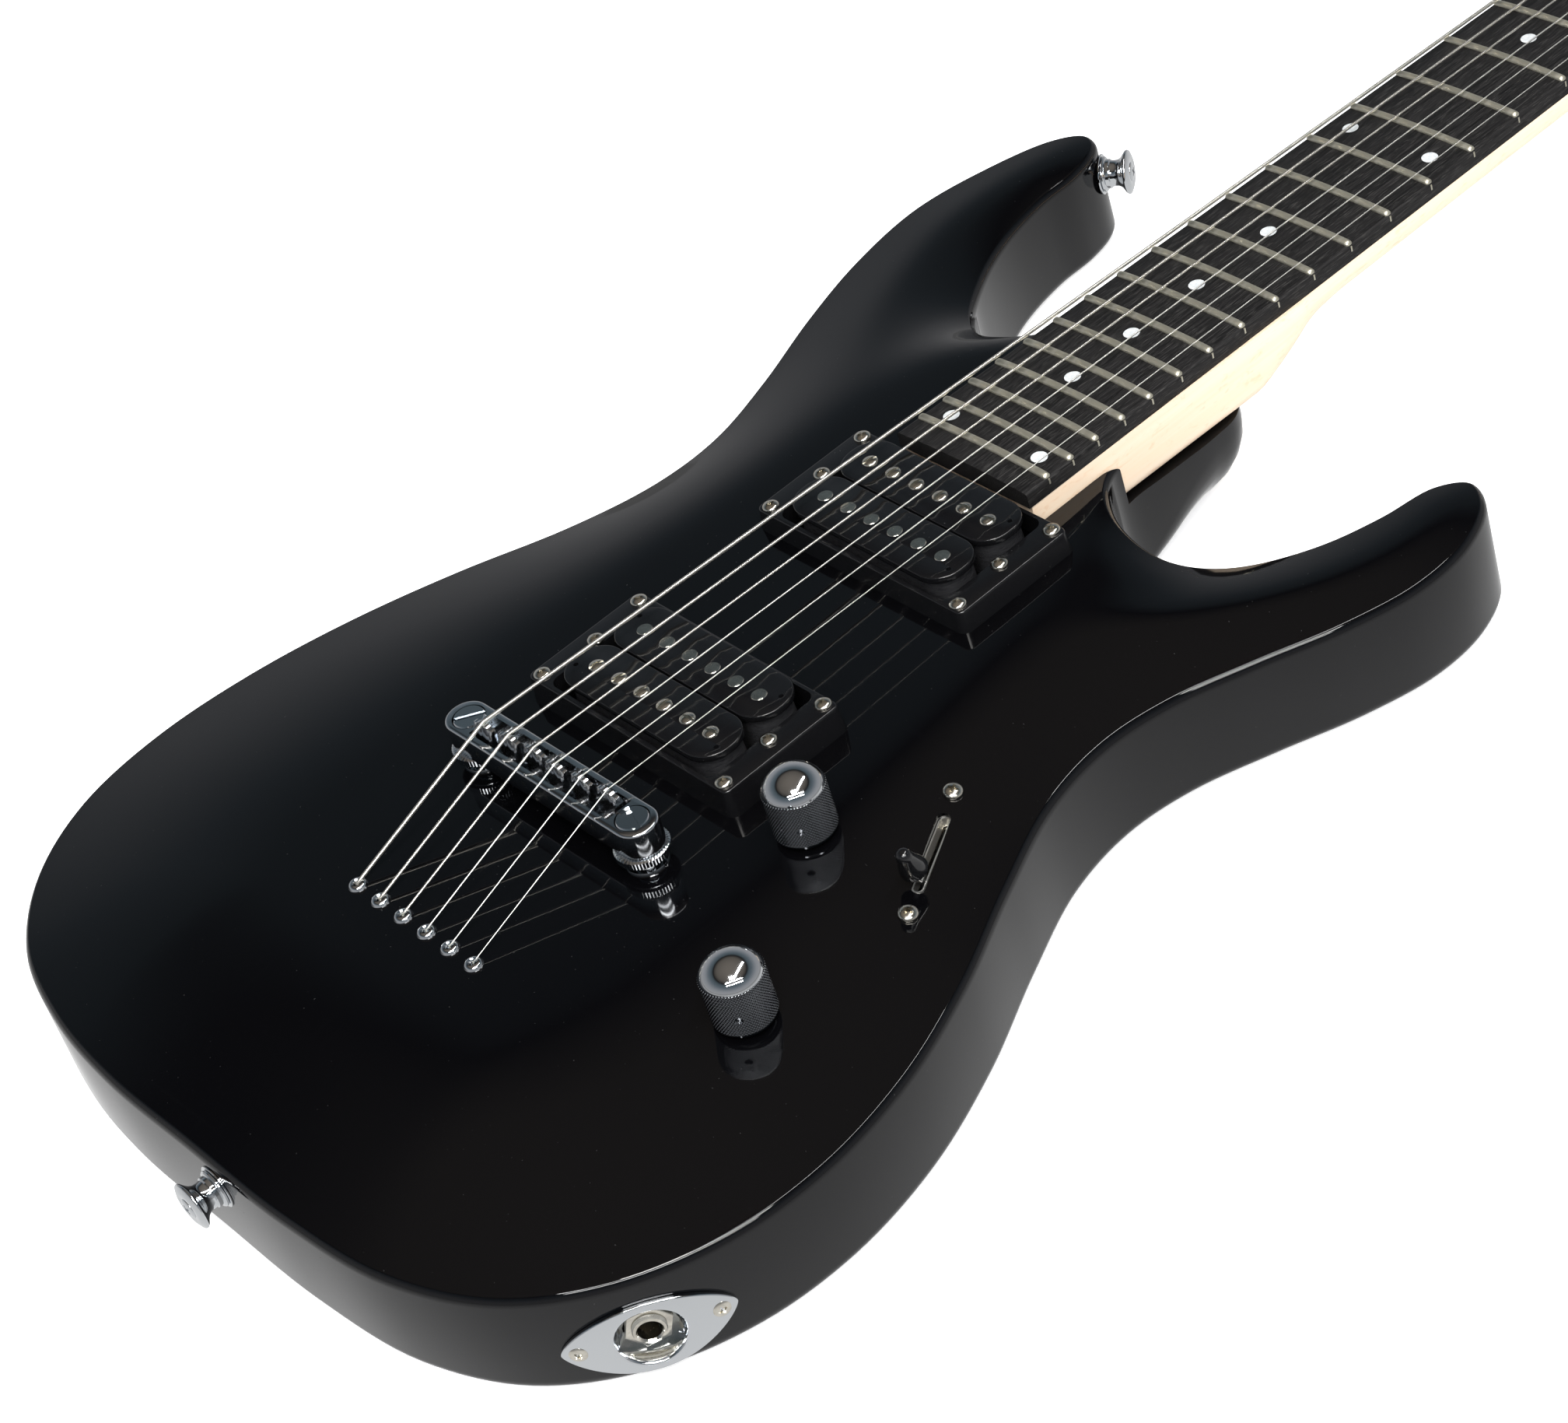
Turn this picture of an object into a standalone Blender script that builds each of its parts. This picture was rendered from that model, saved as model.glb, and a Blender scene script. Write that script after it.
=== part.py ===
"""Solid-body electric guitar with an arched top, a bolt-on neck and two humbucking pickups.

The guitar lies on its back. Metres, +Z out of the top, +Y from the bridge to the headstock,
+X to the treble side. The origin is on the flat back, on the centreline under the bridge line.
Everything on the neck is built in the neck's own frame, whose Z = 0 is the top of the
fingerboard at its centreline and whose Y runs along the strings from the bridge line.
"""
import math

import bmesh
import bpy
import numpy as np
from mathutils import Matrix, Vector
from mathutils.geometry import delaunay_2d_cdt

MM = 0.001
GAP = 0.3 * MM                      # free space left between pieces that touch

# ---- body -------------------------------------------------------------------------------
TOP_Z = 45 * MM                     # flat middle of the top, measured from the back
EDGE_DROP = 10 * MM                 # how far the carve falls to the rim
TOP_ROUND = 3 * MM
BACK_ROUND = 4 * MM
HEEL_CENTRE = (-8 * MM, 203 * MM)    # the flat under the heel shrinks towards this place
HEEL_ROUND = 24 * MM                # extra rounding under the heel, on the treble side
RIM = [                             # rim of the body, anticlockwise from the tail, in mm
    (0, -139.5), (45, -139.5), (85, -135), (115, -122), (136, -100), (148, -72), (151, -42),
    (146, -10), (134, 22), (118, 53), (105, 82), (101, 106), (104, 128), (113, 152), (123.5, 177),
    (129.5, 200), (128.5, 220), (121, 236), (111, 241.5), (103, 234), (99, 216), (92, 197),
    (79, 179), (62, 168.5), (46, 169), (35, 175), (29.5, 181.5), (27.3, 188), (27.3, 205),
    (27.2, 222), (25.5, 233), (20, 239.5), (8, 242.5), (-9, 242.5), (-21, 240), (-28, 232), (-31, 225),
    (-38, 220.5), (-49, 214.5), (-61, 214), (-74, 221.5), (-86, 237), (-95, 256), (-99.5, 276),
    (-100.2, 291), (-103.2, 302), (-108, 307.8), (-114, 308.8), (-122, 301), (-130, 280), (-135, 252),
    (-131, 222), (-122, 193), (-110, 163), (-102, 136), (-102, 112), (-110, 84), (-124, 53),
    (-136, 20), (-144, -14), (-146.5, -48), (-141.4, -79), (-126.8, -105), (-103.4, -124.4),
    (-73, -134.6), (-40, -139)]
PLATEAU = [                         # flat middle of the top, in mm
    (-56, -72), (56, -72), (64, -40), (65, 20), (60, 80), (52, 125), (46, 150), (37, 165),
    (27, 176), (27, 230), (-27, 230), (-36, 216), (-47, 209), (-55, 194), (-59, 160),
    (-61, 110), (-65, 40), (-65, -40)]
RIM_STEPS = 2
TOP_GRID = 16 * MM
CUT_TOP = 60 * MM                   # cutters of the top end here, well above it
POCKET_END = 280 * MM               # the neck pocket's cutter ends here, beyond the rim
WIRE_BORE = 4 * MM                  # radius of the hidden wiring holes
WIRE_Z = 30 * MM

# ---- neck and fingerboard -----------------------------------------------------------------
SCALE = 648 * MM
FRETS = 24
NECK_DROP = 0.022                   # fall of the neck per unit of length, towards the nut
NECK_Z0 = 61.06 * MM                # top of the fingerboard's line above the bridge line
BOARD_START_Y = 153 * MM
BOARD_THICK = 6 * MM
BOARD_RADIUS = 355 * MM
BOARD_HALF_NUT = 20.9 * MM
BOARD_HALF_24 = 27.5 * MM
FRET_WIDTH = 2.4 * MM
FRET_HEIGHT = 1.1 * MM
FRET_PROFILE = [(-0.5, 0), (-0.25, 0.92), (0.25, 0.92), (0.5, 0)]
FRET_SPANS = 4                      # straight pieces that follow the board's round face
NUT_THICK = 4.5 * MM
HEEL_BOTTOM = -27.5 * MM            # underside of the heel, in the neck's frame
HEEL_HALF = 27.3 * MM
HEAD_FACE = -8 * MM
HEAD_THICK = 14.5 * MM
HEAD_OUTLINE = [                    # headstock, in mm, from the treble side of the nut
    (21, 649), (21.5, 662), (27, 684), (31, 712), (33, 745), (34.5, 790), (36, 822), (33, 838),
    (22, 845), (10, 838), (3.5, 815), (-10, 766), (-24, 716), (-33.5, 682), (-32.5, 671),
    (-23.5, 661), (-21, 649)]

# ---- strings and tuners -------------------------------------------------------------------
STRINGS = 6
STRING_RADII = [0.58, 0.46, 0.36, 0.24, 0.2, 0.16]       # mm, bass to treble
BRIDGE_SPREAD = 10.4 * MM           # string spacing at the bridge
NUT_SPREAD = 7 * MM
POST_FIRST = (-20.7 * MM, 683 * MM)
POST_STEP = (7 * MM, 25 * MM)
POST_RADIUS = 3 * MM

# ---- bridge and tail ----------------------------------------------------------------------
BRIDGE_Y = -2 * MM
BRIDGE_HALF = 44 * MM
BRIDGE_WIDTH = 13 * MM
BRIDGE_BOTTOM = 52 * MM
BRIDGE_TOP = 60.8 * MM
STUD_X = 36.5 * MM
STUD_THREAD = 3.9 * MM
WHEEL_RADIUS = 8 * MM
SADDLE_TOP = 64.6 * MM
SADDLE_SHOULDER = 62 * MM
SADDLE_BOTTOM = 54.4 * MM
SADDLE_HALF = (4.2 * MM, 2 * MM)
SADDLE_CHANNEL = (31 * MM, 4.3 * MM)
STRING_HOLE = 1.8 * MM
STUD_HOLE_FLOOR = 23.5 * MM
STUD_BOTTOM = 27 * MM
WHEEL_Z = (48.6 * MM, 51.7 * MM)
SADDLE_BACKSET = [3.4, 2.6, 1.8, 2.4, 1.6, 0.8]          # mm behind the bridge line
FERRULE_Y = -55.6 * MM
FERRULE_SPREAD = 10.64 * MM

# ---- pickups ------------------------------------------------------------------------------
PICKUP_Y = {"bridge": 43.7 * MM, "neck": 130.9 * MM}
PICKUP_TOP = {"bridge": 57.2 * MM, "neck": 56 * MM}
RING_TOP = {"bridge": 53.7 * MM, "neck": 52 * MM}
RING_HALF = (45 * MM, 22 * MM)
RING_OPENING = (35.6 * MM, 19.5 * MM)
ROUTE_FLOOR = 24 * MM
ROUTE_HALF = (35.8 * MM, 19.6 * MM)
EAR_ROOM = (42.5 * MM, 8 * MM)      # half size of the route for a pickup's ears
PICKUP_BOTTOM = 27 * MM
PICKUP_BASE = (34.4, 18.4)          # half size of the base plate, in mm
PICKUP_EAR = (41.5, 6)              # half size across the two ears, in mm
BOBBIN_HALF = (34.2 * MM, 9.1 * MM)
BOBBIN_SHIFT = 9.4 * MM             # from the pickup's middle to the middle of a coil

# ---- controls -----------------------------------------------------------------------------
KNOBS = {"volume": (65.6 * MM, 30.9 * MM), "tone": (102 * MM, -23.5 * MM)}
KNOB_RADIUS = 9 * MM
KNOB_GAP = 2 * MM                   # between the top and the skirt of a knob
KNOB_WALL = 14.4 * MM
KNOB_DOME = 5.8 * MM
POT_RADIUS = 8.4 * MM
POT_FLOOR = 23 * MM
SHAFT_RADIUS = 2.9 * MM
CAVITY = [                          # control cavity in the back, in mm
    (50, 14), (54, 58), (72, 78), (92, 70), (116, 32), (131, -10), (134, -46), (121, -74),
    (103, -62), (82, -36), (60, -10)]
CAVITY_CEILING = 35.5 * MM
COVER_THICK = 2.4 * MM
COVER_OVERLAP = 5 * MM
SWITCH_CENTRE = (96.5 * MM, 46.5 * MM)
SWITCH_ALONG = (0.507, -0.862)      # from the neck end of the slot to the bridge end
SWITCH_PIVOT_Z = 18 * MM
SWITCH_SLOT = (14.2 * MM, 1.9 * MM)
LEVER_HALF = (1.9 * MM, 0.8 * MM)
POT_HOLE = 4.2 * MM
SWITCH_TILT = math.radians(22)      # the lever rests at the bridge position
JACK_NEAR = (138.5 * MM, -97.5 * MM)
JACK_Z = 14.8 * MM
JACK_PLATE_HALF = (23 * MM, 11.8 * MM)
JACK_PLATE_THICK = 1.3 * MM
JACK_SWEEP_RADIUS = 88 * MM         # bend of the plate, to sit on the curved side
JACK_CUP_RADIUS = 10.4 * MM
JACK_CUP_DEPTH = 7 * MM
JACK_BARREL = 4.7 * MM
JACK_HOLE = 3.25 * MM

HEEL_SCREWS = [(-18 * MM, 168 * MM), (18 * MM, 168 * MM), (-18 * MM, 207 * MM), (5 * MM, 209 * MM)]
STRAP_BUTTONS = {                   # a place near the rim, and the height above the back
    "tail": ((10 * MM, -140 * MM), 25 * MM),
    "horn": ((-104.5 * MM, 305.5 * MM), 24 * MM),
}

COLOURS = {                         # base colour, roughness, metallic
    "black_lacquer": ((0.01, 0.01, 0.012), 0.08, 0.0),
    "maple": ((0.78, 0.62, 0.42), 0.35, 0.0),
    "dark_wood": ((0.03, 0.025, 0.028), 0.5, 0.0),
    "nickel": ((0.62, 0.6, 0.53), 0.3, 1.0),
    "chrome": ((0.8, 0.82, 0.85), 0.08, 1.0),
    "black_plastic": ((0.012, 0.012, 0.013), 0.3, 0.0),
    "bone": ((0.85, 0.82, 0.74), 0.4, 0.0),
    "steel": ((0.5, 0.5, 0.5), 0.35, 1.0),
}


# ---- building blocks ------------------------------------------------------------------------
def clear_scene():
    for old in list(bpy.data.objects):
        bpy.data.objects.remove(old, do_unlink=True)


def material(slot):
    found = bpy.data.materials.get(slot)
    if found:
        return found
    colour, roughness, metallic = COLOURS[slot]
    made = bpy.data.materials.new(slot)
    made.use_nodes = True
    shader = made.node_tree.nodes["Principled BSDF"]
    shader.inputs["Base Color"].default_value = (*colour, 1.0)
    shader.inputs["Roughness"].default_value = roughness
    shader.inputs["Metallic"].default_value = metallic
    return made


def add_object(name, mesh, slot, parent=None, location=(0, 0, 0), rotation=None):
    made = bpy.data.objects.new(name, mesh)
    bpy.context.scene.collection.objects.link(made)
    if slot and not mesh.materials:
        mesh.materials.append(material(slot))
    made.parent = parent
    made.location = location
    if rotation is not None:
        made.rotation_euler = rotation.to_euler()
    return made


def add_empty(name, parent=None, location=(0, 0, 0), rotation=None):
    made = bpy.data.objects.new(name, None)
    bpy.context.scene.collection.objects.link(made)
    made.parent = parent
    made.location = location
    if rotation is not None:
        made.rotation_euler = rotation.to_euler()
    return made


def mesh_of(name, points, faces, smooth=False):
    mesh = bpy.data.meshes.new(name)
    mesh.from_pydata([tuple(p) for p in points], [], faces)
    work = bmesh.new()
    work.from_mesh(mesh)
    bmesh.ops.recalc_face_normals(work, faces=work.faces)
    work.to_mesh(mesh)
    work.free()
    if smooth:
        mesh.shade_smooth()
        mesh.set_sharp_from_angle(angle=math.radians(35))
    return mesh


def loft(name, rings, smooth=False):
    """Skin a row of closed rings with equal point counts, and close both ends."""
    count = len(rings[0])
    points = [p for ring in rings for p in ring]
    faces = []
    for row in range(len(rings) - 1):
        for i in range(count):
            j = (i + 1) % count
            a, b = row * count, (row + 1) * count
            faces.append((a + i, a + j, b + j, b + i))
    faces.append(tuple(range(count))[::-1])
    faces.append(tuple(range((len(rings) - 1) * count, len(rings) * count)))
    return mesh_of(name, points, faces, smooth)


def prism(name, outline, low, high, smooth=False):
    rings = [[(x, y, z) for x, y in outline] for z in (low, high)]
    return loft(name, rings, smooth)


def box(name, low, high):
    outline = [(low[0], low[1]), (high[0], low[1]), (high[0], high[1]), (low[0], high[1])]
    return prism(name, outline, low[2], high[2])


def turned(name, profile, sides=16):
    """Turn a profile of (radius, height) about Z; it starts and ends on the axis."""
    points, rows = [], []
    for radius, height in profile:
        if radius < 1e-9:
            rows.append([len(points)])
            points.append((0, 0, height))
            continue
        rows.append(list(range(len(points), len(points) + sides)))
        for k in range(sides):
            turn = 2 * math.pi * k / sides
            points.append((radius * math.cos(turn), radius * math.sin(turn), height))
    faces = []
    for lower, upper in zip(rows, rows[1:]):
        for k in range(sides):
            n = (k + 1) % sides
            if len(lower) == 1:
                faces.append((lower[0], upper[n], upper[k]))
            elif len(upper) == 1:
                faces.append((lower[k], lower[n], upper[0]))
            else:
                faces.append((lower[k], lower[n], upper[n], upper[k]))
    return mesh_of(name, points, faces, smooth=True)


def cylinder(name, radius, low, high, sides=16):
    return turned(name, [(0, low), (radius, low), (radius, high), (0, high)], sides)


def rounded_rectangle(half_x, half_y, radius, steps=3, centre=(0, 0)):
    points = []
    for quarter, (sx, sy) in enumerate(((1, 1), (-1, 1), (-1, -1), (1, -1))):
        for k in range(steps + 1):
            turn = math.pi / 2 * (quarter + k / steps)
            points.append((centre[0] + sx * (half_x - radius) + radius * math.cos(turn),
                           centre[1] + sy * (half_y - radius) + radius * math.sin(turn)))
    return points


def blend(a, b, low, high, at):
    return ((high - at) * a + (at - low) * b) / (high - low)


def smooth_closed(points, steps):
    """Centripetal Catmull-Rom curve through a closed list of points."""
    count = len(points)
    curve = []
    for i in range(count):
        p = [np.array(points[(i + k) % count], float) for k in (-1, 0, 1, 2)]
        k = [0.0]
        for a, b in zip(p, p[1:]):
            k.append(k[-1] + np.linalg.norm(b - a) ** 0.5)
        for s in range(steps):
            t = k[1] + (k[2] - k[1]) * s / steps
            a = [blend(p[n], p[n + 1], k[n], k[n + 1], t) for n in range(3)]
            b = [blend(a[n], a[n + 1], k[n], k[n + 2], t) for n in range(2)]
            curve.append(blend(b[0], b[1], k[1], k[2], t))
    return np.array(curve)


def inward_normals(curve):
    """Unit normals of a closed anticlockwise curve, pointing inwards."""
    along = np.roll(curve, -1, axis=0) - np.roll(curve, 1, axis=0)
    normals = np.stack([-along[:, 1], along[:, 0]], axis=1)
    return normals / np.linalg.norm(normals, axis=1)[:, None]


def grown(outline, distance):
    """A closed anticlockwise outline moved outwards by a distance."""
    curve = np.array(outline)
    return curve - inward_normals(curve) * distance


def cut(target, cutter, operation="DIFFERENCE"):
    """Boolean one object with another, which then stays as a hidden guide."""
    step = target.modifiers.new(cutter.name, "BOOLEAN")
    step.operation = operation
    step.solver = "EXACT"
    step.object = cutter
    cutter.hide_render = True
    cutter.display_type = "WIRE"
    return step


def finished(name, obj):
    """The evaluated mesh of an object, as a mesh that copies can share."""
    bpy.context.view_layer.update()
    graph = bpy.context.evaluated_depsgraph_get()
    mesh = bpy.data.meshes.new_from_object(obj.evaluated_get(graph))
    mesh.name = name
    return mesh


def remove(*objects):
    for old in objects:
        bpy.data.objects.remove(old, do_unlink=True)


def ease(value):
    value = np.clip(value, 0.0, 1.0)
    return value * value * (3 - 2 * value)


# ---- body -----------------------------------------------------------------------------------
def distance_to_loop(points, loop):
    """Shortest distance of each point to a closed polyline."""
    start = loop[None, :, :]
    edge = np.roll(loop, -1, axis=0)[None, :, :] - start
    away = points[:, None, :] - start
    share = np.clip((away * edge).sum(2) / (edge * edge).sum(2), 0, 1)
    return np.linalg.norm(away - share[:, :, None] * edge, axis=2).min(axis=1)


def inside_loop(points, loop):
    ends = np.roll(loop, -1, axis=0)
    x, y = points[:, 0][:, None], points[:, 1][:, None]
    spans = (loop[:, 1][None] > y) != (ends[:, 1][None] > y)
    rise = ends[:, 1] - loop[:, 1]
    rise = np.where(np.abs(rise) < 1e-12, 1e-12, rise)
    cross = loop[:, 0] + (y - loop[:, 1]) * (ends[:, 0] - loop[:, 0]) / rise
    return (spans & (x < cross)).sum(1) % 2 == 1


def rim_height(points):
    """Height of the carve at the rim: it stays up beside the neck and is low elsewhere."""
    beside = 1 - ease((np.abs(points[:, 0]) - 30 * MM) / (50 * MM))
    forward = ease((points[:, 1] - 120 * MM) / (40 * MM))
    return TOP_Z - EDGE_DROP * (1 - beside * forward)


def carve_height(points, loop, plateau):
    """Height of the arched top: full on the plateau, falling in a quarter sine to the rim."""
    out = distance_to_loop(points, loop)
    back = np.where(inside_loop(points, plateau), 0.0, distance_to_loop(points, plateau))
    share = out / np.maximum(out + back, 1e-9)
    low = rim_height(points)
    return low + (TOP_Z - low) * np.sin(share * math.pi / 2)


def body_shell():
    rim = smooth_closed(RIM, RIM_STEPS) * MM
    inwards = inward_normals(rim)
    low = rim_height(rim)
    heel = ease((rim[:, 1] - 180 * MM) / (46 * MM)) * ease((rim[:, 0] + 27 * MM) / (40 * MM))
    heel = np.where(rim[:, 0] > 29 * MM, 0.0, heel)
    back = BACK_ROUND + (HEEL_ROUND - BACK_ROUND) * heel
    centre = np.array(HEEL_CENTRE) - rim
    centre = centre / np.linalg.norm(centre, axis=1)[:, None]
    pull = inwards + (centre - inwards) * heel[:, None]
    rings = []
    for turn in (90, 45, 0):
        a = math.radians(turn)
        flat = rim + pull * (back * (1 - math.cos(a)))[:, None]
        rings.append(np.column_stack([flat, back * (1 - math.sin(a))]))
    for turn in (0, 38, 76):
        a = math.radians(turn)
        flat = rim + inwards * (TOP_ROUND * (1 - math.cos(a)))
        rings.append(np.column_stack([flat, low - TOP_ROUND * (1 - math.sin(a))]))
    count = len(rim)
    loop = rings[-1][:, :2]
    plateau = np.array(PLATEAU) * MM
    step = TOP_GRID
    rows = []
    for r in range(int(0.46 / (step * 0.866))):
        y = -0.15 + r * step * 0.866
        rows += [(-0.16 + (c + 0.5 * (r % 2)) * step, y) for c in range(int(0.33 / step))]
    grid = np.array(rows)
    grid = grid[inside_loop(grid, loop)]
    grid = grid[distance_to_loop(grid, loop) > 0.45 * step]
    flat = [Vector(p) for p in np.vstack([loop, grid]) / MM]
    edges = [(i, (i + 1) % count) for i in range(count)]
    spots, _, tiles, *_ = delaunay_2d_cdt(flat, edges, [], 1, 1e-4)
    spots = np.array([tuple(p) for p in spots]) * MM
    heights = carve_height(spots, loop, plateau)
    heights[:count] = rings[-1][:, 2]
    points = [tuple(p) for ring in rings[:-1] for p in ring]
    top = len(points)
    points += [(x, y, z) for (x, y), z in zip(spots, heights)]
    faces = []
    for row in range(len(rings) - 1):
        for i in range(count):
            j = (i + 1) % count
            faces.append((row * count + i, row * count + j, (row + 1) * count + j,
                          (row + 1) * count + i))
    faces += [tuple(top + i for i in tile) for tile in tiles]
    faces.append(tuple(range(count))[::-1])
    return mesh_of("body", points, faces, smooth=True)


def rim_seat(near, height):
    """The nearest place on the rim, and a turn whose Z points out of the side there."""
    loop = smooth_closed(RIM, RIM_STEPS * 8) * MM
    nearest = int(np.argmin(np.linalg.norm(loop - np.array(near), axis=1)))
    out = -Vector((*inward_normals(loop)[nearest], 0))
    up = Vector((0, 0, 1))
    turn = Matrix((up.cross(out), up, out)).transposed()
    return Vector((*loop[nearest], height)) + out * GAP, turn


def top_height_at(place):
    loop = smooth_closed(RIM, RIM_STEPS) * MM
    return float(carve_height(np.array([place]), loop, np.array(PLATEAU) * MM)[0])


def switch_turn():
    """The turn that lays the X axis along the switch's slot."""
    return Matrix.Rotation(math.atan2(SWITCH_ALONG[1], SWITCH_ALONG[0]), 3, "Z")


def make_body(frame, neck_frame):
    body = add_object("body", body_shell(), "black_lacquer", frame)
    pocket = box("pocket_cut", (-HEEL_HALF - GAP, BOARD_START_Y + 0.5 * MM, HEEL_BOTTOM - GAP),
                 (HEEL_HALF + GAP, POCKET_END, 20 * MM))
    cut(body, add_object("pocket_cut", pocket, None, neck_frame))
    for name, y in PICKUP_Y.items():
        route = prism(name + "_route", rounded_rectangle(*ROUTE_HALF, 3 * MM, centre=(0, y)),
                      ROUTE_FLOOR, CUT_TOP)
        ears = box(name + "_ears", (-EAR_ROOM[0], y - EAR_ROOM[1], ROUTE_FLOOR),
                   (EAR_ROOM[0], y + EAR_ROOM[1], CUT_TOP))
        cut(body, add_object(name + "_route", route, None, frame))
        cut(body, add_object(name + "_ears", ears, None, frame))
    cavity = smooth_closed(CAVITY, 2) * MM
    cut(body, add_object("cavity_cut", prism("cavity_cut", cavity, -5 * MM, CAVITY_CEILING),
                         None, frame))
    lid = grown(cavity, COVER_OVERLAP)
    cut(body, add_object("lid_cut", prism("lid_cut", lid, -5 * MM, COVER_THICK + GAP),
                         None, frame))
    for name, (x, y) in KNOBS.items():
        hole = cylinder(name + "_hole", POT_HOLE, 30 * MM, CUT_TOP, 12)
        cut(body, add_object(name + "_hole", hole, None, frame, (x, y, 0)))
    turn = switch_turn()
    slot = prism("switch_slot", rounded_rectangle(*SWITCH_SLOT, 1.8 * MM), 30 * MM, CUT_TOP)
    cut(body, add_object("switch_slot", slot, None, frame, (*SWITCH_CENTRE, 0), turn))
    for side, x in (("bass", -STUD_X), ("treble", STUD_X)):
        hole = cylinder(side + "_stud_hole", STUD_THREAD + 2 * GAP, STUD_HOLE_FLOOR, CUT_TOP, 12)
        cut(body, add_object(side + "_stud_hole", hole, None, frame, (x, BRIDGE_Y, 0)))
    for i in range(STRINGS):
        hole = cylinder("string_hole_%d" % (i + 1), STRING_HOLE, -5 * MM, CUT_TOP, 8)
        x = (i - 2.5) * FERRULE_SPREAD
        cut(body, add_object("string_hole_%d" % (i + 1), hole, None, frame, (x, FERRULE_Y, 0)))
    for i, (x, y) in enumerate(HEEL_SCREWS):
        hole = turned("heel_hole_%d" % (i + 1), [(0, -1 * MM), (6.6 * MM, -1 * MM),
                      (6.6 * MM, 3 * MM), (2.6 * MM, 3 * MM), (2.6 * MM, 40 * MM),
                      (0, 40 * MM)], 12)
        cut(body, add_object("heel_hole_%d" % (i + 1), hole, None, frame, (x, y, 0)))
    bore = cylinder("jack_bore", JACK_CUP_RADIUS + 1 * MM, -45 * MM, 20 * MM, 16)
    cut(body, add_object("jack_bore", bore, None, frame, *rim_seat(JACK_NEAR, JACK_Z)))
    wire = cylinder("wire_bore", WIRE_BORE, -70 * MM, 75 * MM, 8)
    along = Matrix.Rotation(math.radians(-90), 3, "X")
    cut(body, add_object("wire_bore", wire, None, frame, (28 * MM, 85 * MM, WIRE_Z), along))
    across = Matrix.Rotation(math.radians(90), 3, "Y")
    link = cylinder("cavity_link", WIRE_BORE, 0, 30 * MM, 8)
    cut(body, add_object("cavity_link", link, None, frame, (30 * MM, 38 * MM, WIRE_Z), across))
    return body


def make_hardware_on_body(frame):
    cavity = smooth_closed(CAVITY, 2) * MM
    lid = grown(cavity, COVER_OVERLAP - GAP)
    add_object("control_cover", prism("control_cover", lid, 0.2 * MM, COVER_THICK),
               "black_plastic", frame)
    for i, (x, y) in enumerate(HEEL_SCREWS):
        profile = [(0, 0.3 * MM), (6.2 * MM, 0.3 * MM), (6.2 * MM, 2.6 * MM), (2.1 * MM, 2.6 * MM),
                   (2.1 * MM, 43 * MM), (0, 45 * MM)]
        add_object("neck_screw_%d" % (i + 1), turned("neck_screw", profile, 12), "chrome",
                   frame, (x, y, 0))
    button = [(0, 0), (5.6 * MM, 0), (5.2 * MM, 1.6 * MM), (3.4 * MM, 2.8 * MM), (3.4 * MM, 5.4 * MM),
              (6.6 * MM, 7.6 * MM), (7 * MM, 8.8 * MM), (5.6 * MM, 10 * MM), (0, 10 * MM)]
    for name, (near, height) in STRAP_BUTTONS.items():
        add_object(name + "_strap_button", turned("strap_button", button, 16), "chrome", frame,
                   *rim_seat(near, height))


def make_jack(frame):
    """Curved eye-shaped plate with a sunken cup, and the socket that clamps through it."""
    half_long, half_high = JACK_PLATE_HALF
    at, turn = rim_seat(JACK_NEAR, JACK_Z)
    thick = JACK_PLATE_THICK

    def on_sweep(s, height, lift):
        angle = s / JACK_SWEEP_RADIUS
        reach = JACK_SWEEP_RADIUS + lift
        return (reach * math.sin(angle), height, reach * math.cos(angle) - JACK_SWEEP_RADIUS)

    steps = 14
    rings = []
    for k in range(steps + 1):
        s = half_long * (-1 + 2 * k / steps)
        high = 3 * MM + (half_high - 3 * MM) * max(0.0, 1 - (s / half_long) ** 2) ** 0.8
        rings.append([on_sweep(s, high * t, lift) for t, lift in
                      ((-1, 0), (-0.4, 0), (0.4, 0), (1, 0), (1, thick), (0.4, thick),
                       (-0.4, thick), (-1, thick))])
    plate = add_object("jack_plate", loft("jack_plate", rings, True), "chrome", frame,
                       at, turn)
    cup = add_object("cup_outer", cylinder("cup_outer", JACK_CUP_RADIUS,
                                           -JACK_CUP_DEPTH - thick, 0.8 * MM, 20),
                     "chrome", frame, at, turn)
    cut(plate, cup, "UNION")
    well = [(0, -JACK_CUP_DEPTH), (7.4 * MM, -JACK_CUP_DEPTH), (9.4 * MM, 3 * MM), (0, 3 * MM)]
    cut(plate, add_object("cup_well", turned("cup_well", well, 20), None, frame, at, turn))
    cut(plate, add_object("cup_hole", cylinder("cup_hole", 5.1 * MM, -12 * MM, 5 * MM, 16), None,
                          frame, at, turn))
    behind = -JACK_CUP_DEPTH - thick - GAP
    seat = GAP - JACK_CUP_DEPTH
    nut = seat + 2.3 * MM
    barrel = [(0, -32 * MM), (8 * MM, -32 * MM), (8 * MM, behind), (JACK_BARREL, behind),
              (JACK_BARREL, seat), (6.6 * MM, seat), (6.6 * MM, nut), (JACK_BARREL, nut),
              (JACK_BARREL, -3 * MM), (JACK_HOLE, -3 * MM), (JACK_HOLE, -29 * MM), (0, -29 * MM)]
    add_object("jack_socket", turned("jack_socket", barrel, 16), "chrome", frame, at, turn)


# ---- neck -----------------------------------------------------------------------------------
def fret_y(number):
    return SCALE * 2 ** (-number / 12)


def board_half(y):
    return BOARD_HALF_NUT + (BOARD_HALF_24 - BOARD_HALF_NUT) * (SCALE - y) / (SCALE - fret_y(24))


def board_drop(x):
    """How far the rounded face of the fingerboard lies below its centreline."""
    return BOARD_RADIUS - math.sqrt(BOARD_RADIUS ** 2 - x * x)


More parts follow.
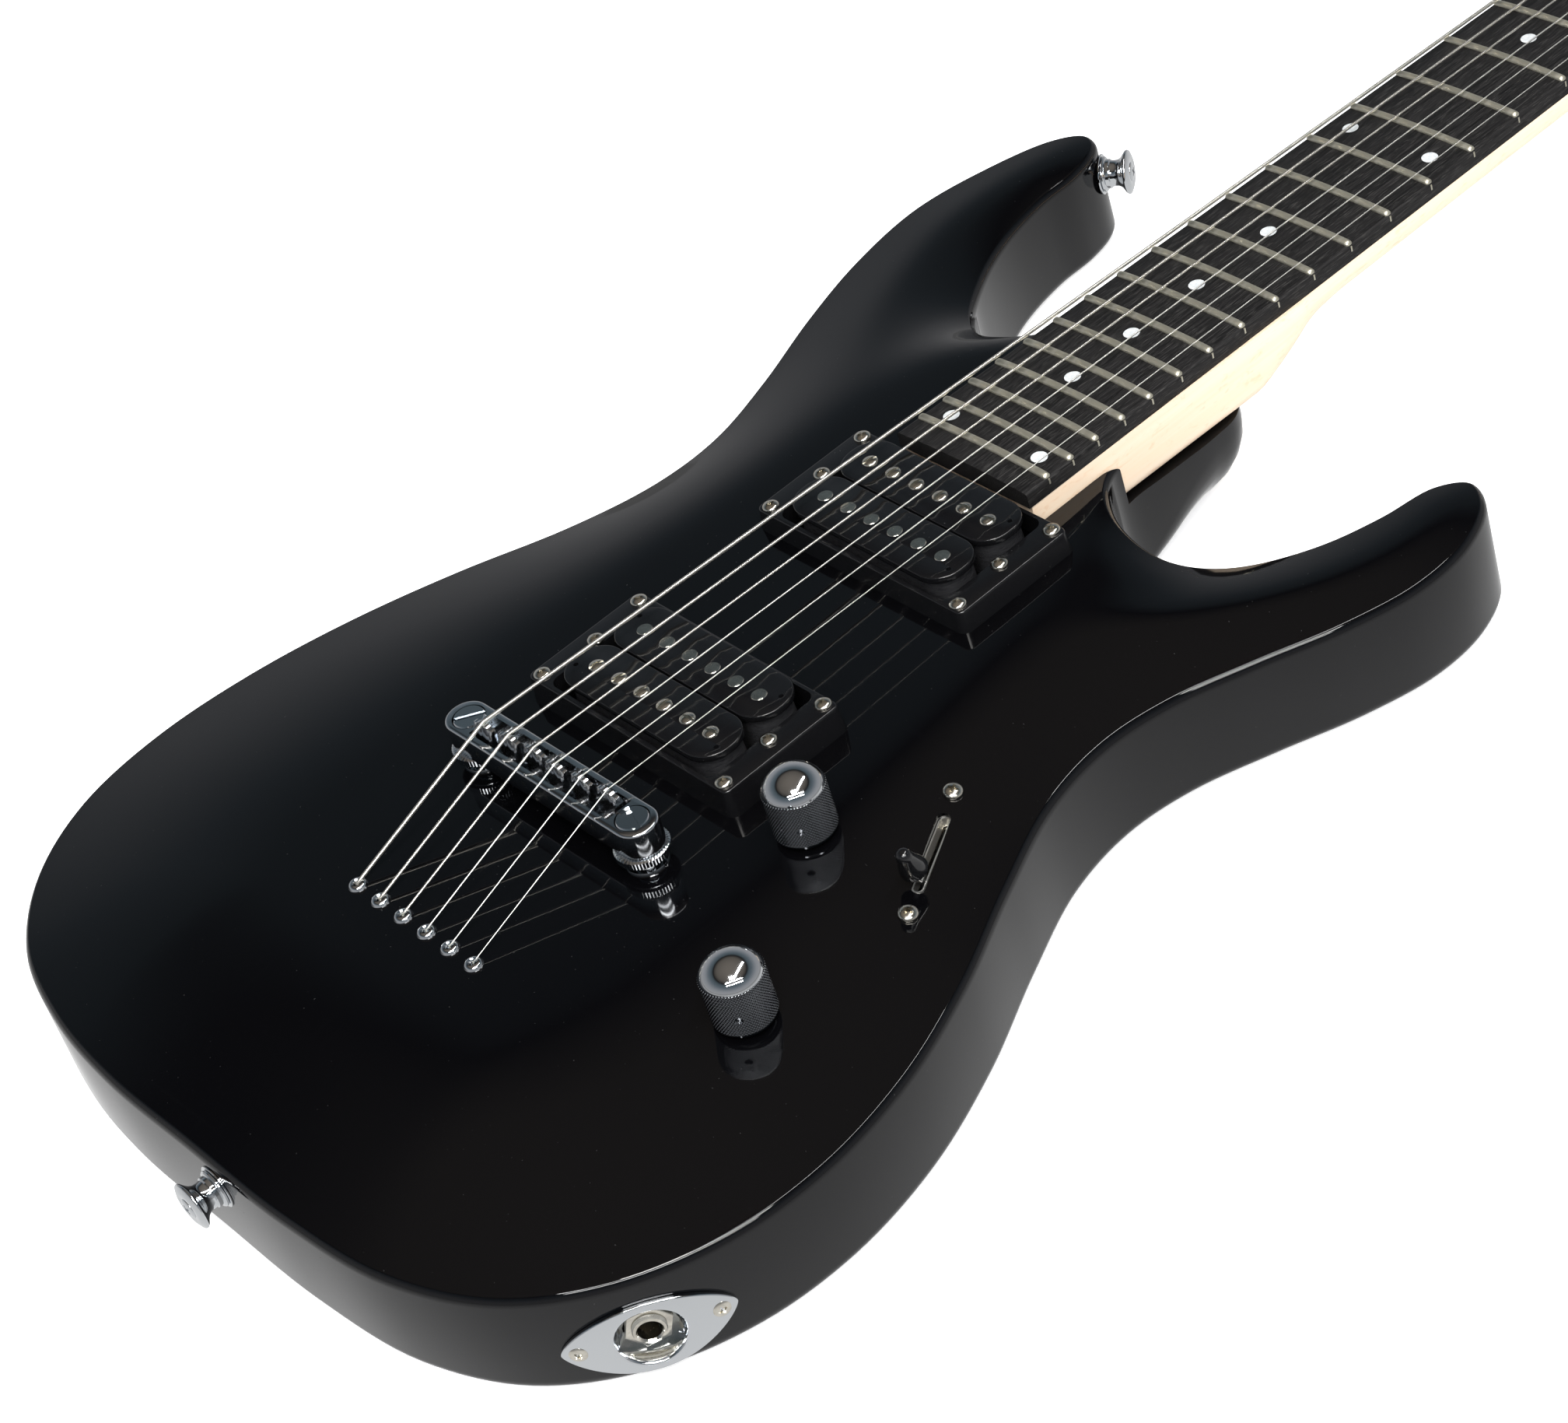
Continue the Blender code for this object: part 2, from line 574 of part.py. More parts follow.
def neck_section(y, half, depth, squareness, steps=12):
    top = -BOARD_THICK - GAP
    ring = []
    for k in range(steps + 1):
        turn = math.pi * k / steps
        c, s = math.cos(turn), math.sin(turn)
        ring.append((half * math.copysign(abs(c) ** (2 / squareness), c), y,
                     top - depth * abs(s) ** (2 / squareness)))
    return ring


def make_neck(frame, neck_frame):
    heel = -HEEL_BOTTOM - BOARD_THICK - GAP
    stations = [                    # y in mm, half width, depth, squareness
        (154, HEEL_HALF, heel, 9), (243, HEEL_HALF, heel, 9), (252, HEEL_HALF, heel - 1 * MM, 6),
        (261, 27 * MM, 18.6 * MM, 4), (273, board_half(273 * MM), 16.4 * MM, 2.7),
        (300, board_half(300 * MM), 15.8 * MM, 2.35), (470, board_half(470 * MM), 15 * MM, 2.25),
        (620, board_half(620 * MM), 14 * MM, 2.25), (640, board_half(640 * MM), 14.4 * MM, 2.4),
        (652.5, 21 * MM, 15.5 * MM, 2.8)]
    rings = [neck_section(y * MM, half, depth, square) for y, half, depth, square in stations]
    neck = add_object("neck", loft("neck", rings, True), "maple", neck_frame)
    outline = smooth_closed(HEAD_OUTLINE, 2) * MM
    head = add_object("head_block", prism("head_block", outline, HEAD_FACE - HEAD_THICK,
                                          HEAD_FACE), "maple", neck_frame)
    cut(neck, head, "UNION")
    cut(neck, add_object("rod_channel", box("rod_channel", (-3.4 * MM, 168 * MM, -15.2 * MM),
                                            (3.4 * MM, 672 * MM, 5 * MM)), None, neck_frame))
    for i in range(STRINGS):
        x, y = post_place(i)
        hole = cylinder("post_hole_%d" % (i + 1), 4.6 * MM, -40 * MM, 10 * MM, 12)
        cut(neck, add_object("post_hole_%d" % (i + 1), hole, None, neck_frame, (x, y, 0)))
    for i, (x, y) in enumerate(HEEL_SCREWS):
        hole = cylinder("screw_hole_%d" % (i + 1), 2.6 * MM, 20 * MM, 46 * MM, 12)
        cut(neck, add_object("screw_hole_%d" % (i + 1), hole, None, frame, (x, y, 0)))


def make_fingerboard(neck_frame):
    rings = []
    for y in (BOARD_START_Y, SCALE - GAP):
        half = board_half(y)
        arc = [half * (1 - 2 * k / 8) for k in range(9)]
        rings.append([(x, y, -board_drop(x)) for x in arc]
                     + [(-half, y, -BOARD_THICK), (half, y, -BOARD_THICK)])
    board = add_object("fretboard", loft("fretboard", rings), "dark_wood", neck_frame)
    cut(board, add_object("tie_groove", box("tie_groove", (-0.9 * MM, 155 * MM, -1.7 * MM),
                                            (0.9 * MM, 615 * MM, 2 * MM)), None, neck_frame))
    tie_half, tooth = 0.5 * MM, 0.5 * MM
    side = [(fret_y(1) + 1 * MM, -1.3 * MM)]
    for number in range(1, FRETS + 1):
        y = fret_y(number)
        side += [(y + tooth, -0.5 * MM), (y + tooth, 0.6 * MM), (y - tooth, 0.6 * MM),
                 (y - tooth, -0.5 * MM)]
    side += [(fret_y(FRETS) - 1 * MM, -1.3 * MM)]
    tie = add_object("fret_set", loft("fret_set", [[(x, y, z) for y, z in side]
                                                   for x in (-tie_half, tie_half)]),
                     "nickel", neck_frame)
    points, faces, sides = [], [], len(FRET_PROFILE)
    for number in range(1, FRETS + 1):
        y, half = fret_y(number), board_half(fret_y(number)) - 0.6 * MM
        start = len(points)
        for x in [half * (-1 + 2 * k / FRET_SPANS) for k in range(FRET_SPANS + 1)]:
            drop = board_drop(x)
            points += [(x, y + a * FRET_WIDTH, GAP - drop + h * FRET_HEIGHT)
                       for a, h in FRET_PROFILE]
        for s in range(FRET_SPANS):
            for k in range(sides):
                a, b = start + s * sides + k, start + s * sides + (k + 1) % sides
                faces.append((a, b, b + sides, a + sides))
        last = start + FRET_SPANS * sides
        faces += [tuple(range(start, start + sides))[::-1], tuple(range(last, last + sides))]
    crowns = add_object("fret_crowns", mesh_of("fret_crowns", points, faces), "nickel", neck_frame)
    cut(tie, crowns, "UNION")


def make_neck_fittings(neck_frame):
    nut = prism("nut", [(-BOARD_HALF_NUT, SCALE), (BOARD_HALF_NUT, SCALE),
                        (BOARD_HALF_NUT, SCALE + NUT_THICK), (-BOARD_HALF_NUT, SCALE + NUT_THICK)],
                -BOARD_THICK, 1.2 * MM)
    add_object("nut", nut, "bone", neck_frame)
    turn = Matrix.Rotation(math.radians(-90), 3, "X")
    rod = [(0, 0), (2.6 * MM, 0), (2.6 * MM, 484 * MM), (3 * MM, 485 * MM), (3 * MM, 496 * MM),
           (0, 496 * MM)]
    add_object("truss_rod", turned("truss_rod", rod, 10), "steel", neck_frame,
               (0, 170 * MM, -11.6 * MM), turn)
    cover = [(-6, 656), (6, 656), (9, 662), (9, 680), (4, 686), (-4, 686), (-9, 680), (-9, 662)]
    add_object("truss_rod_cover", prism("truss_rod_cover", [(x * MM, y * MM) for x, y in cover],
                                        HEAD_FACE + GAP, HEAD_FACE + 1.8 * MM),
               "black_plastic", neck_frame)


# ---- tuners and strings -----------------------------------------------------------------------
def post_place(i):
    return POST_FIRST[0] + i * POST_STEP[0], POST_FIRST[1] + i * POST_STEP[1]


def make_tuners(neck_frame):
    """Six sealed tuners. X of a tuner points out to its key, Y back towards the nut."""
    back = HEAD_FACE - HEAD_THICK - GAP
    lean = Matrix.Rotation(math.atan2(POST_STEP[1], POST_STEP[0]) + math.pi / 2, 3, "Z")
    worm_y, worm_z = 7.7 * MM, -6 * MM
    along_x = Matrix.Rotation(math.radians(90), 3, "Y")
    case = prism("tuner_case", rounded_rectangle(9 * MM, 10 * MM, 3 * MM, 2,
                                                 (0.5 * MM, 2.5 * MM)), -11 * MM, 0)
    shell = add_object("tuner_case", case, "chrome")
    gear_room = turned("gear_room", [(0, -9.3 * MM), (5.7 * MM, -9.3 * MM), (5.7 * MM, -3 * MM),
                                     (3.4 * MM, -3 * MM), (3.4 * MM, 5 * MM), (0, 5 * MM)], 14)
    worm_room = cylinder("worm_room", 2.7 * MM, -6.6 * MM, 20 * MM, 10)
    rooms = [add_object("gear_room", gear_room, None),
             add_object("worm_room", worm_room, None, None, (0, worm_y, worm_z), along_x)]
    for room in rooms:
        cut(shell, room)
    housing = finished("tuner_housing", shell)
    remove(shell, *rooms)
    post = turned("tuner_post", [(0, -8.8 * MM), (5 * MM, -8.8 * MM), (5 * MM, -4 * MM),
                                 (3 * MM, -4 * MM), (3 * MM, 20 * MM), (2.4 * MM, 22 * MM),
                                 (2.4 * MM, 25 * MM), (3 * MM, 26.5 * MM), (2.6 * MM, 28 * MM),
                                 (0, 28 * MM)], 12)
    grip = add_object("key_grip", turned("key_grip", [(0, 0), (2.4 * MM, 0), (3.4 * MM, 2 * MM),
                                                      (8 * MM, 5 * MM), (8.6 * MM, 9 * MM),
                                                      (6.5 * MM, 15 * MM), (0, 17 * MM)], 14),
                      "chrome")
    for vertex in grip.data.vertices:
        vertex.co.y *= 0.42
    shaft = add_object("key_shaft", turned("key_shaft", [(0, -20.5 * MM), (2.2 * MM, -20.5 * MM),
                                                         (2.2 * MM, -9 * MM), (1.9 * MM, -8 * MM),
                                                         (1.9 * MM, 4 * MM), (0, 4 * MM)], 10),
                       "chrome")
    cut(grip, shaft, "UNION")
    key = finished("tuner_key", grip)
    remove(grip, shaft)
    for i in range(STRINGS):
        x, y = post_place(i)
        stand = add_empty("tuner_frame_%d" % (i + 1), neck_frame, (x, y, back), lean)
        add_object("tuner_housing_%d" % (i + 1), housing, "chrome", stand)
        add_object("tuner_post_%d" % (i + 1), post, "chrome", stand)
        add_object("tuner_key_%d" % (i + 1), key, "chrome", stand,
                   (14.5 * MM, worm_y, worm_z), along_x)


def make_strings(frame, neck_frame):
    """Each string runs from its ball end up through the body, over saddle and nut, to a post."""
    for i in range(STRINGS):
        radius = STRING_RADII[i] * MM
        x0, x1 = (i - 2.5) * FERRULE_SPREAD, (i - 2.5) * BRIDGE_SPREAD
        x2 = (i - 2.5) * NUT_SPREAD
        post_x, post_y = post_place(i)
        saddle_y = -SADDLE_BACKSET[i] * MM
        body_part = [Vector((x0, FERRULE_Y, 8 * MM)), Vector((x0, FERRULE_Y, TOP_Z + 1.2 * MM)),
                     Vector((x1, saddle_y, SADDLE_TOP + GAP + radius))]
        lift = radius + GAP
        past = SCALE + NUT_THICK
        head_part = [Vector((x2, SCALE, 1.2 * MM + lift)), Vector((x2, past, 1.2 * MM + lift)),
                     Vector((post_x + POST_RADIUS + lift, post_y, 0.8 * MM))]
        route = body_part + [neck_frame.matrix_world @ p for p in head_part]
        sides = 6
        rings = []
        for k, spot in enumerate(route):
            before = (spot - route[max(k - 1, 0)]).normalized()
            after = (route[min(k + 1, len(route) - 1)] - spot).normalized()
            along = (before + after).normalized()
            out = Vector((1, 0, 0)).cross(along).normalized()
            across = along.cross(out).normalized()
            stretch = 1 / max(0.5, along.dot(after if after.length else before))
            rings.append([spot + radius * (across * math.cos(a) + out * stretch * math.sin(a))
                          for a in (2 * math.pi * n / sides for n in range(sides))])
        add_object("string_%d" % (i + 1), loft("string_%d" % (i + 1), rings), "steel", frame)


# ---- bridge ---------------------------------------------------------------------------------
def make_bridge(frame):
    stand = add_empty("bridge_stand", frame, (0, BRIDGE_Y, 0))
    bar = prism("bridge_frame", rounded_rectangle(BRIDGE_HALF, BRIDGE_WIDTH / 2, 6.4 * MM, 4),
                BRIDGE_BOTTOM, BRIDGE_TOP, True)
    bridge = add_object("bridge_frame", bar, "chrome", stand)
    cut(bridge, add_object("saddle_channel", box("saddle_channel", (-SADDLE_CHANNEL[0], -SADDLE_CHANNEL[1],
                                                                    54 * MM),
                                                 (*SADDLE_CHANNEL, 70 * MM)), None, stand))
    for side, x in (("bass", -STUD_X), ("treble", STUD_X)):
        well = turned(side + "_well", [(0, 50 * MM), (4.5 * MM, 50 * MM), (4.5 * MM, 58 * MM),
                                       (5 * MM, 58.4 * MM), (5 * MM, 65 * MM), (0, 65 * MM)], 16)
        cut(bridge, add_object(side + "_well", well, None, stand, (x, 0, 0)))
        stud = [(0, STUD_BOTTOM), (STUD_THREAD, STUD_BOTTOM), (STUD_THREAD, WHEEL_Z[0]),
                (WHEEL_RADIUS, WHEEL_Z[0]), (WHEEL_RADIUS, WHEEL_Z[1]), (4.1 * MM, WHEEL_Z[1]),
                (4.1 * MM, 58.7 * MM), (4.6 * MM, 58.9 * MM), (4.6 * MM, BRIDGE_TOP + 0.2 * MM),
                (0, BRIDGE_TOP + 0.2 * MM)]
        add_object("bridge_stud_" + side, turned("bridge_stud", stud, 16), "chrome", frame,
                   (x, BRIDGE_Y, 0))
    for i in range(STRINGS):
        x, y = (i - 2.5) * BRIDGE_SPREAD, -SADDLE_BACKSET[i] * MM
        half_x, half_y = SADDLE_HALF
        profile = [(-half_y, SADDLE_BOTTOM), (half_y, SADDLE_BOTTOM), (half_y, SADDLE_SHOULDER),
                   (0.7 * MM, SADDLE_TOP), (-0.7 * MM, SADDLE_TOP), (-half_y, SADDLE_SHOULDER)]
        rings = [[(side, a, z) for a, z in profile] for side in (-half_x, half_x)]
        add_object("saddle_%d" % (i + 1), loft("saddle", rings), "chrome", frame, (x, y, 0))


# ---- pickups --------------------------------------------------------------------------------
def make_pickups(frame):
    for name, y in PICKUP_Y.items():
        stand = add_empty(name + "_pickup_frame", frame, (0, y, 0))
        low, top = PICKUP_BOTTOM, PICKUP_TOP[name]
        (wide, deep), (ear, reach) = PICKUP_BASE, PICKUP_EAR
        cross = [(ear, -reach), (ear, reach), (wide, reach), (wide, deep), (-wide, deep),
                 (-wide, reach), (-ear, reach), (-ear, -reach), (-wide, -reach), (-wide, -deep),
                 (wide, -deep), (wide, -reach)]
        base = prism(name + "_pickup", [(a * MM, b * MM) for a, b in cross], low, low + 2 * MM)
        pickup = add_object(name + "_pickup", base, "black_plastic", stand)
        for side, shift in (("slug", BOBBIN_SHIFT), ("screw", -BOBBIN_SHIFT)):
            bobbin = prism("bobbin", rounded_rectangle(*BOBBIN_HALF, 7 * MM, 4, (0, shift)),
                           low + 1 * MM, top, True)
            cut(pickup, add_object(name + "_" + side + "_bobbin", bobbin, None, stand), "UNION")
        wide, deep = RING_HALF
        low_ring = TOP_Z + GAP
        rings = [[(a, b, z) for a, b in rounded_rectangle(wide - inset, deep - inset, 3 * MM, 3)]
                 for inset, z in ((0, low_ring), (1.1 * MM, RING_TOP[name]))]
        ring = add_object(name + "_pickup_ring", loft(name + "_ring", rings, True),
                          "black_plastic", stand)
        hole = prism(name + "_opening", rounded_rectangle(*RING_OPENING, 3 * MM, 3),
                     30 * MM, 70 * MM)
        cut(ring, add_object(name + "_opening", hole, None, stand))


# ---- controls -------------------------------------------------------------------------------
def make_controls(frame):
    for name, (x, y) in KNOBS.items():
        top = top_height_at((x, y))
        base = top + KNOB_GAP
        wall = base + KNOB_WALL
        inner, shaft_end = base + 8 * MM, POT_FLOOR + 4 * MM
        knob = [(0, shaft_end), (SHAFT_RADIUS, shaft_end), (SHAFT_RADIUS, inner),
                (6 * MM, inner), (6 * MM, base), (KNOB_RADIUS, base), (KNOB_RADIUS, wall)]
        for turn in (30, 60):
            a = math.radians(turn)
            knob.append((KNOB_RADIUS * math.cos(a), wall + KNOB_DOME * math.sin(a)))
        knob.append((0, wall + KNOB_DOME))
        add_object(name + "_knob", turned(name + "_knob", knob, 20), "chrome", frame, (x, y, 0))
        sleeve, bore = SHAFT_RADIUS + 0.9 * MM, SHAFT_RADIUS + GAP
        pot = [(0, POT_FLOOR), (POT_RADIUS, POT_FLOOR), (POT_RADIUS, CAVITY_CEILING - GAP),
               (sleeve, CAVITY_CEILING - GAP), (sleeve, top + 4 * MM), (bore, top + 4 * MM),
               (bore, POT_FLOOR + 3 * MM), (0, POT_FLOOR + 3 * MM)]
        add_object(name + "_pot", turned(name + "_pot", pot, 16), "steel", frame, (x, y, 0))


def make_switch(frame):
    turn = switch_turn()
    stand = add_empty("switch_stand", frame, (*SWITCH_CENTRE, SWITCH_PIVOT_Z), turn)
    floor = CAVITY_CEILING - GAP - SWITCH_PIVOT_Z
    bracket = add_object("switch_frame", box("switch_frame", (-23 * MM, -5.5 * MM, floor - 1.4 * MM),
                                             (23 * MM, 5.5 * MM, floor)), "steel", stand)
    cut(bracket, add_object("switch_box", box("switch_box", (-16 * MM, -5 * MM, -8 * MM),
                                              (16 * MM, 5 * MM, floor - 1 * MM)), None, stand),
        "UNION")
    cut(bracket, add_object("lever_room", box("lever_room", (-14 * MM, -1.6 * MM, -5 * MM),
                                              (14 * MM, 1.6 * MM, 40 * MM)), None, stand))
    lean = Matrix.Rotation(SWITCH_TILT, 3, "Y")
    lever = box("switch_lever", (-LEVER_HALF[0], -LEVER_HALF[1], -3 * MM), (*LEVER_HALF, 36 * MM))
    add_object("switch_lever", lever, "steel", stand, (0, 0, 0), lean)
    tip = add_object("switch_tip", turned("switch_tip", [(0, 28.4 * MM), (3.2 * MM, 28.4 * MM),
                                                         (3.9 * MM, 30 * MM), (3.3 * MM, 34 * MM),
                                                         (2.3 * MM, 39 * MM), (1.6 * MM, 40.6 * MM),
                                                         (0, 41 * MM)], 14),
                     "black_plastic", stand, (0, 0, 0), lean)
    cut(tip, add_object("tip_room", box("tip_room", (-2.2 * MM, -1.1 * MM, 25 * MM),
                                        (2.2 * MM, 1.1 * MM, 36.4 * MM)), None, stand,
                        (0, 0, 0), lean))


def main():
    clear_scene()
    frame = add_empty("guitar_frame")
    neck_frame = add_empty("neck_frame", frame, (0, 0, NECK_Z0),
                           Matrix.Rotation(-math.atan(NECK_DROP), 3, "X"))
    bpy.context.view_layer.update()
    make_body(frame, neck_frame)
    make_hardware_on_body(frame)
    make_jack(frame)
    make_neck(frame, neck_frame)
    make_fingerboard(neck_frame)
    make_neck_fittings(neck_frame)
    make_tuners(neck_frame)
    make_strings(frame, neck_frame)
    make_bridge(frame)
    make_pickups(frame)
    make_controls(frame)
    make_switch(frame)
    bpy.context.view_layer.update()


main()
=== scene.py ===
"""Looks and fine surfaces of the electric guitar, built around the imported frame.

Metres, +Z out of the top, +Y from the bridge to the headstock, +X to the treble side.
The origin is on the flat back under the bridge line. Pieces on the neck are children of the
neck frame, whose Z = 0 is the top of the fingerboard's centreline.
"""
import math
import random

import bmesh
import bpy
import numpy as np
from mathutils import Matrix, Vector
from mathutils.geometry import delaunay_2d_cdt


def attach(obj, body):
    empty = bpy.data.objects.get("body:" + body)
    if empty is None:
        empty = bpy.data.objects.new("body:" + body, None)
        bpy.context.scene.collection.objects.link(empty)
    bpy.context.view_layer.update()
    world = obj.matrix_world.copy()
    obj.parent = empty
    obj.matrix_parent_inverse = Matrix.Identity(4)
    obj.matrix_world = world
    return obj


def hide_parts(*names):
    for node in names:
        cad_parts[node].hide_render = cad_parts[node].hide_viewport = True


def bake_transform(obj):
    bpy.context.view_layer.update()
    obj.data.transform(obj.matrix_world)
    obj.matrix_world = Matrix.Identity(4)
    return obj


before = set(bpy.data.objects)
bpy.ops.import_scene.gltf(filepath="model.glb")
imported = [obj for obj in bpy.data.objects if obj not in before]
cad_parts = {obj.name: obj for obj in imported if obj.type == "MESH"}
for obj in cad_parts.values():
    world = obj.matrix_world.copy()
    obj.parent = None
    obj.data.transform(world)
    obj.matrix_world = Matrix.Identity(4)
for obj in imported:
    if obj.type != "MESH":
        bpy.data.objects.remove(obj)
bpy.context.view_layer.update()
MM = 0.001
GUITAR = "guitar"


def mm(*values):
    """Millimetres as metres."""
    return tuple(value * MM for value in values)


# ---- sizes of the frame, read from its nodes --------------------------------------------------
NECK_DROP = 0.022
NECK_Z0 = 61.06 * MM
SCALE = 648 * MM
FRETS = 24
BOARD_START_Y = 153 * MM
BOARD_THICK = 6 * MM
BOARD_RADIUS = 355 * MM
BOARD_HALF_NUT = 20.9 * MM
BOARD_HALF_24 = 27.5 * MM
HEEL_BOTTOM = -27.5 * MM
HEEL_HALF = 27.3 * MM
HEAD_FACE = -8 * MM
HEAD_THICK = 14.5 * MM
TOP_Z = 45 * MM
NUT_THICK = 4.5 * MM
TOP_ROUND = 3 * MM
BACK_ROUND = 4 * MM
HEEL_ROUND = 24 * MM
HEEL_CENTRE = mm(-8, 203)
EDGE_DROP = 10 * MM
RIM = [                             # rim of the body, anticlockwise from the tail, in mm
    (0, -139.5), (45, -139.5), (85, -135), (115, -122), (136, -100), (148, -72), (151, -42),
    (146, -10), (134, 22), (118, 53), (105, 82), (101, 106), (104, 128), (113, 152), (123.5, 177),
    (129.5, 200), (128.5, 220), (121, 236), (111, 241.5), (103, 234), (99, 216), (92, 197),
    (79, 179), (62, 168.5), (46, 169), (35, 175), (29.5, 181.5), (27.3, 188), (27.3, 205),
    (27.2, 222), (25.5, 233), (20, 239.5), (8, 242.5), (-9, 242.5), (-21, 240), (-28, 232), (-31, 225),
    (-38, 220.5), (-49, 214.5), (-61, 214), (-74, 221.5), (-86, 237), (-95, 256), (-99.5, 276),
    (-100.2, 291), (-103.2, 302), (-108, 307.8), (-114, 308.8), (-122, 301), (-130, 280), (-135, 252),
    (-131, 222), (-122, 193), (-110, 163), (-102, 136), (-102, 112), (-110, 84), (-124, 53),
    (-136, 20), (-144, -14), (-146.5, -48), (-141.4, -79), (-126.8, -105), (-103.4, -124.4),
    (-73, -134.6), (-40, -139)]
PLATEAU = [                         # flat middle of the top, in mm
    (-56, -72), (56, -72), (64, -40), (65, 20), (60, 80), (52, 125), (46, 150), (37, 165),
    (27, 176), (27, 230), (-27, 230), (-36, 216), (-47, 209), (-55, 194), (-59, 160),
    (-61, 110), (-65, 40), (-65, -40)]
HEAD_OUTLINE = [                    # headstock, in mm, from the treble side of the nut
    (21, 649), (21.5, 662), (27, 684), (31, 712), (33, 745), (34.5, 790), (36, 822), (33, 838),
    (22, 845), (10, 838), (3.5, 815), (-10, 766), (-24, 716), (-33.5, 682), (-32.5, 671),
    (-23.5, 661), (-21, 649)]
CAVITY = [                          # control cavity in the back, in mm
    (50, 14), (54, 58), (72, 78), (92, 70), (116, 32), (131, -10), (134, -46), (121, -74),
    (103, -62), (82, -36), (60, -10)]
CAVITY_CEILING = 35.5 * MM
COVER_THICK = 2.4 * MM
STRINGS = 6
STRING_RADII = [0.58, 0.46, 0.36, 0.24, 0.2, 0.16]       # mm, bass to treble
BRIDGE_SPREAD = 10.4 * MM
NUT_SPREAD = 7 * MM
POST_FIRST = mm(-20.7, 683)
POST_STEP = mm(7, 25)
BRIDGE_Y = -2 * MM
STUD_X = 36.5 * MM
SADDLE_TOP = 64.6 * MM
SADDLE_BACKSET = [3.4, 2.6, 1.8, 2.4, 1.6, 0.8]
FERRULE_Y = -55.6 * MM
FERRULE_SPREAD = 10.64 * MM
PICKUP_Y = {"bridge": 43.7 * MM, "neck": 130.9 * MM}
PICKUP_TOP = {"bridge": 57.2 * MM, "neck": 56 * MM}
RING_TOP = {"bridge": 53.7 * MM, "neck": 52 * MM}
POLE_SPREAD = 10.05 * MM
KNOBS = {"volume": mm(65.6, 30.9), "tone": mm(102, -23.5)}
KNOB_RADIUS = 9 * MM
KNOB_GAP = 2 * MM
KNOB_WALL = 14.4 * MM
KNOB_DOME = 5.8 * MM
SWITCH_CENTRE = mm(96.5, 46.5)
SWITCH_ALONG = (0.507, -0.862)
SWITCH_PIVOT_Z = 18 * MM
SWITCH_TILT = math.radians(22)
JACK_NEAR = mm(138.5, -97.5)
JACK_Z = 14.8 * MM
JACK_PLATE_HALF = mm(23, 11.8)
JACK_SWEEP_RADIUS = 88 * MM
STRAP_BUTTONS = {"tail": (mm(10, -140), 25 * MM), "horn": (mm(-104.5, 305.5), 24 * MM)}
HEEL_SCREWS = [mm(-18, 168), mm(18, 168), mm(-18, 207), mm(5, 209)]
GAP = 0.3 * MM


# ---- small building blocks ----------------------------------------------------------------------
def add_object(name, mesh, look=None, parent=None, location=(0, 0, 0), rotation=None, body=GUITAR):
    made = bpy.data.objects.new(name, mesh)
    bpy.context.scene.collection.objects.link(made)
    if look and not mesh.materials:
        mesh.materials.append(look)
    made.parent = parent
    made.location = location
    if rotation is not None:
        made.rotation_euler = rotation.to_euler()
    if body:
        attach(made, body)
    return made


def around(profile, count):
    """The profile's (radius, height) points, repeated around the Z axis."""
    return [[(r * math.cos(a), r * math.sin(a), z) for r, z in profile]
            for a in (2 * math.pi * n / count for n in range(count))]


def recoat(mesh, look):
    """Give a mesh one material only."""
    mesh.materials.clear()
    mesh.materials.append(LOOKS[look])


def add_empty(name, parent=None, location=(0, 0, 0), rotation=None):
    made = bpy.data.objects.new(name, None)
    bpy.context.scene.collection.objects.link(made)
    made.parent = parent
    made.location = location
    if rotation is not None:
        made.rotation_euler = rotation.to_euler()
    return made


def mesh_of(name, points, faces, angle=35):
    mesh = bpy.data.meshes.new(name)
    mesh.from_pydata([tuple(p) for p in points], [], faces)
    work = bmesh.new()
    work.from_mesh(mesh)
    bmesh.ops.recalc_face_normals(work, faces=work.faces)
    work.to_mesh(mesh)
    work.free()
    mesh.shade_smooth()
    mesh.set_sharp_from_angle(angle=math.radians(angle))
    return mesh


def loft(name, rings, angle=35, closed=False):
    """Skin a row of closed rings with equal point counts; a closed row joins its two ends."""
    count = len(rings[0])
    points = [p for ring in rings for p in ring]
    faces = []
    rows = len(rings) if closed else len(rings) - 1
    for row in range(rows):
        for i in range(count):
            j = (i + 1) % count
            a, b = row * count, ((row + 1) % len(rings)) * count
            faces.append((a + i, a + j, b + j, b + i))
    if not closed:
        faces.append(tuple(range(count))[::-1])
        faces.append(tuple(range((len(rings) - 1) * count, len(rings) * count)))
    return mesh_of(name, points, faces, angle)


def soft_prism(name, outline, low, high, round_low=0.0, round_high=0.4 * MM, steps=4):
    """A prism on an anticlockwise outline whose rims are rounded over."""
    curve = np.array(outline)
    inwards = inward_normals(curve)
    rings = []

    def ring(inset, z):
        rings.append([(x, y, z) for x, y in curve + inwards * inset])

    for k in range(steps if round_low else 0):
        a = math.pi / 2 * k / steps
        ring(round_low * (1 - math.sin(a)), low + round_low * (1 - math.cos(a)))
    ring(0.0, low + round_low)
    ring(0.0, high - round_high)
    for k in range(1, steps + 1 if round_high else 1):
        a = math.pi / 2 * k / steps
        ring(round_high * (1 - math.cos(a)), high - round_high * (1 - math.sin(a)))
    return loft(name, rings)


def prism(name, outline, low, high):
    return loft(name, [[(x, y, z) for x, y in outline] for z in (low, high)])


def box(name, low, high):
    outline = [(low[0], low[1]), (high[0], low[1]), (high[0], high[1]), (low[0], high[1])]
    return prism(name, outline, low[2], high[2])


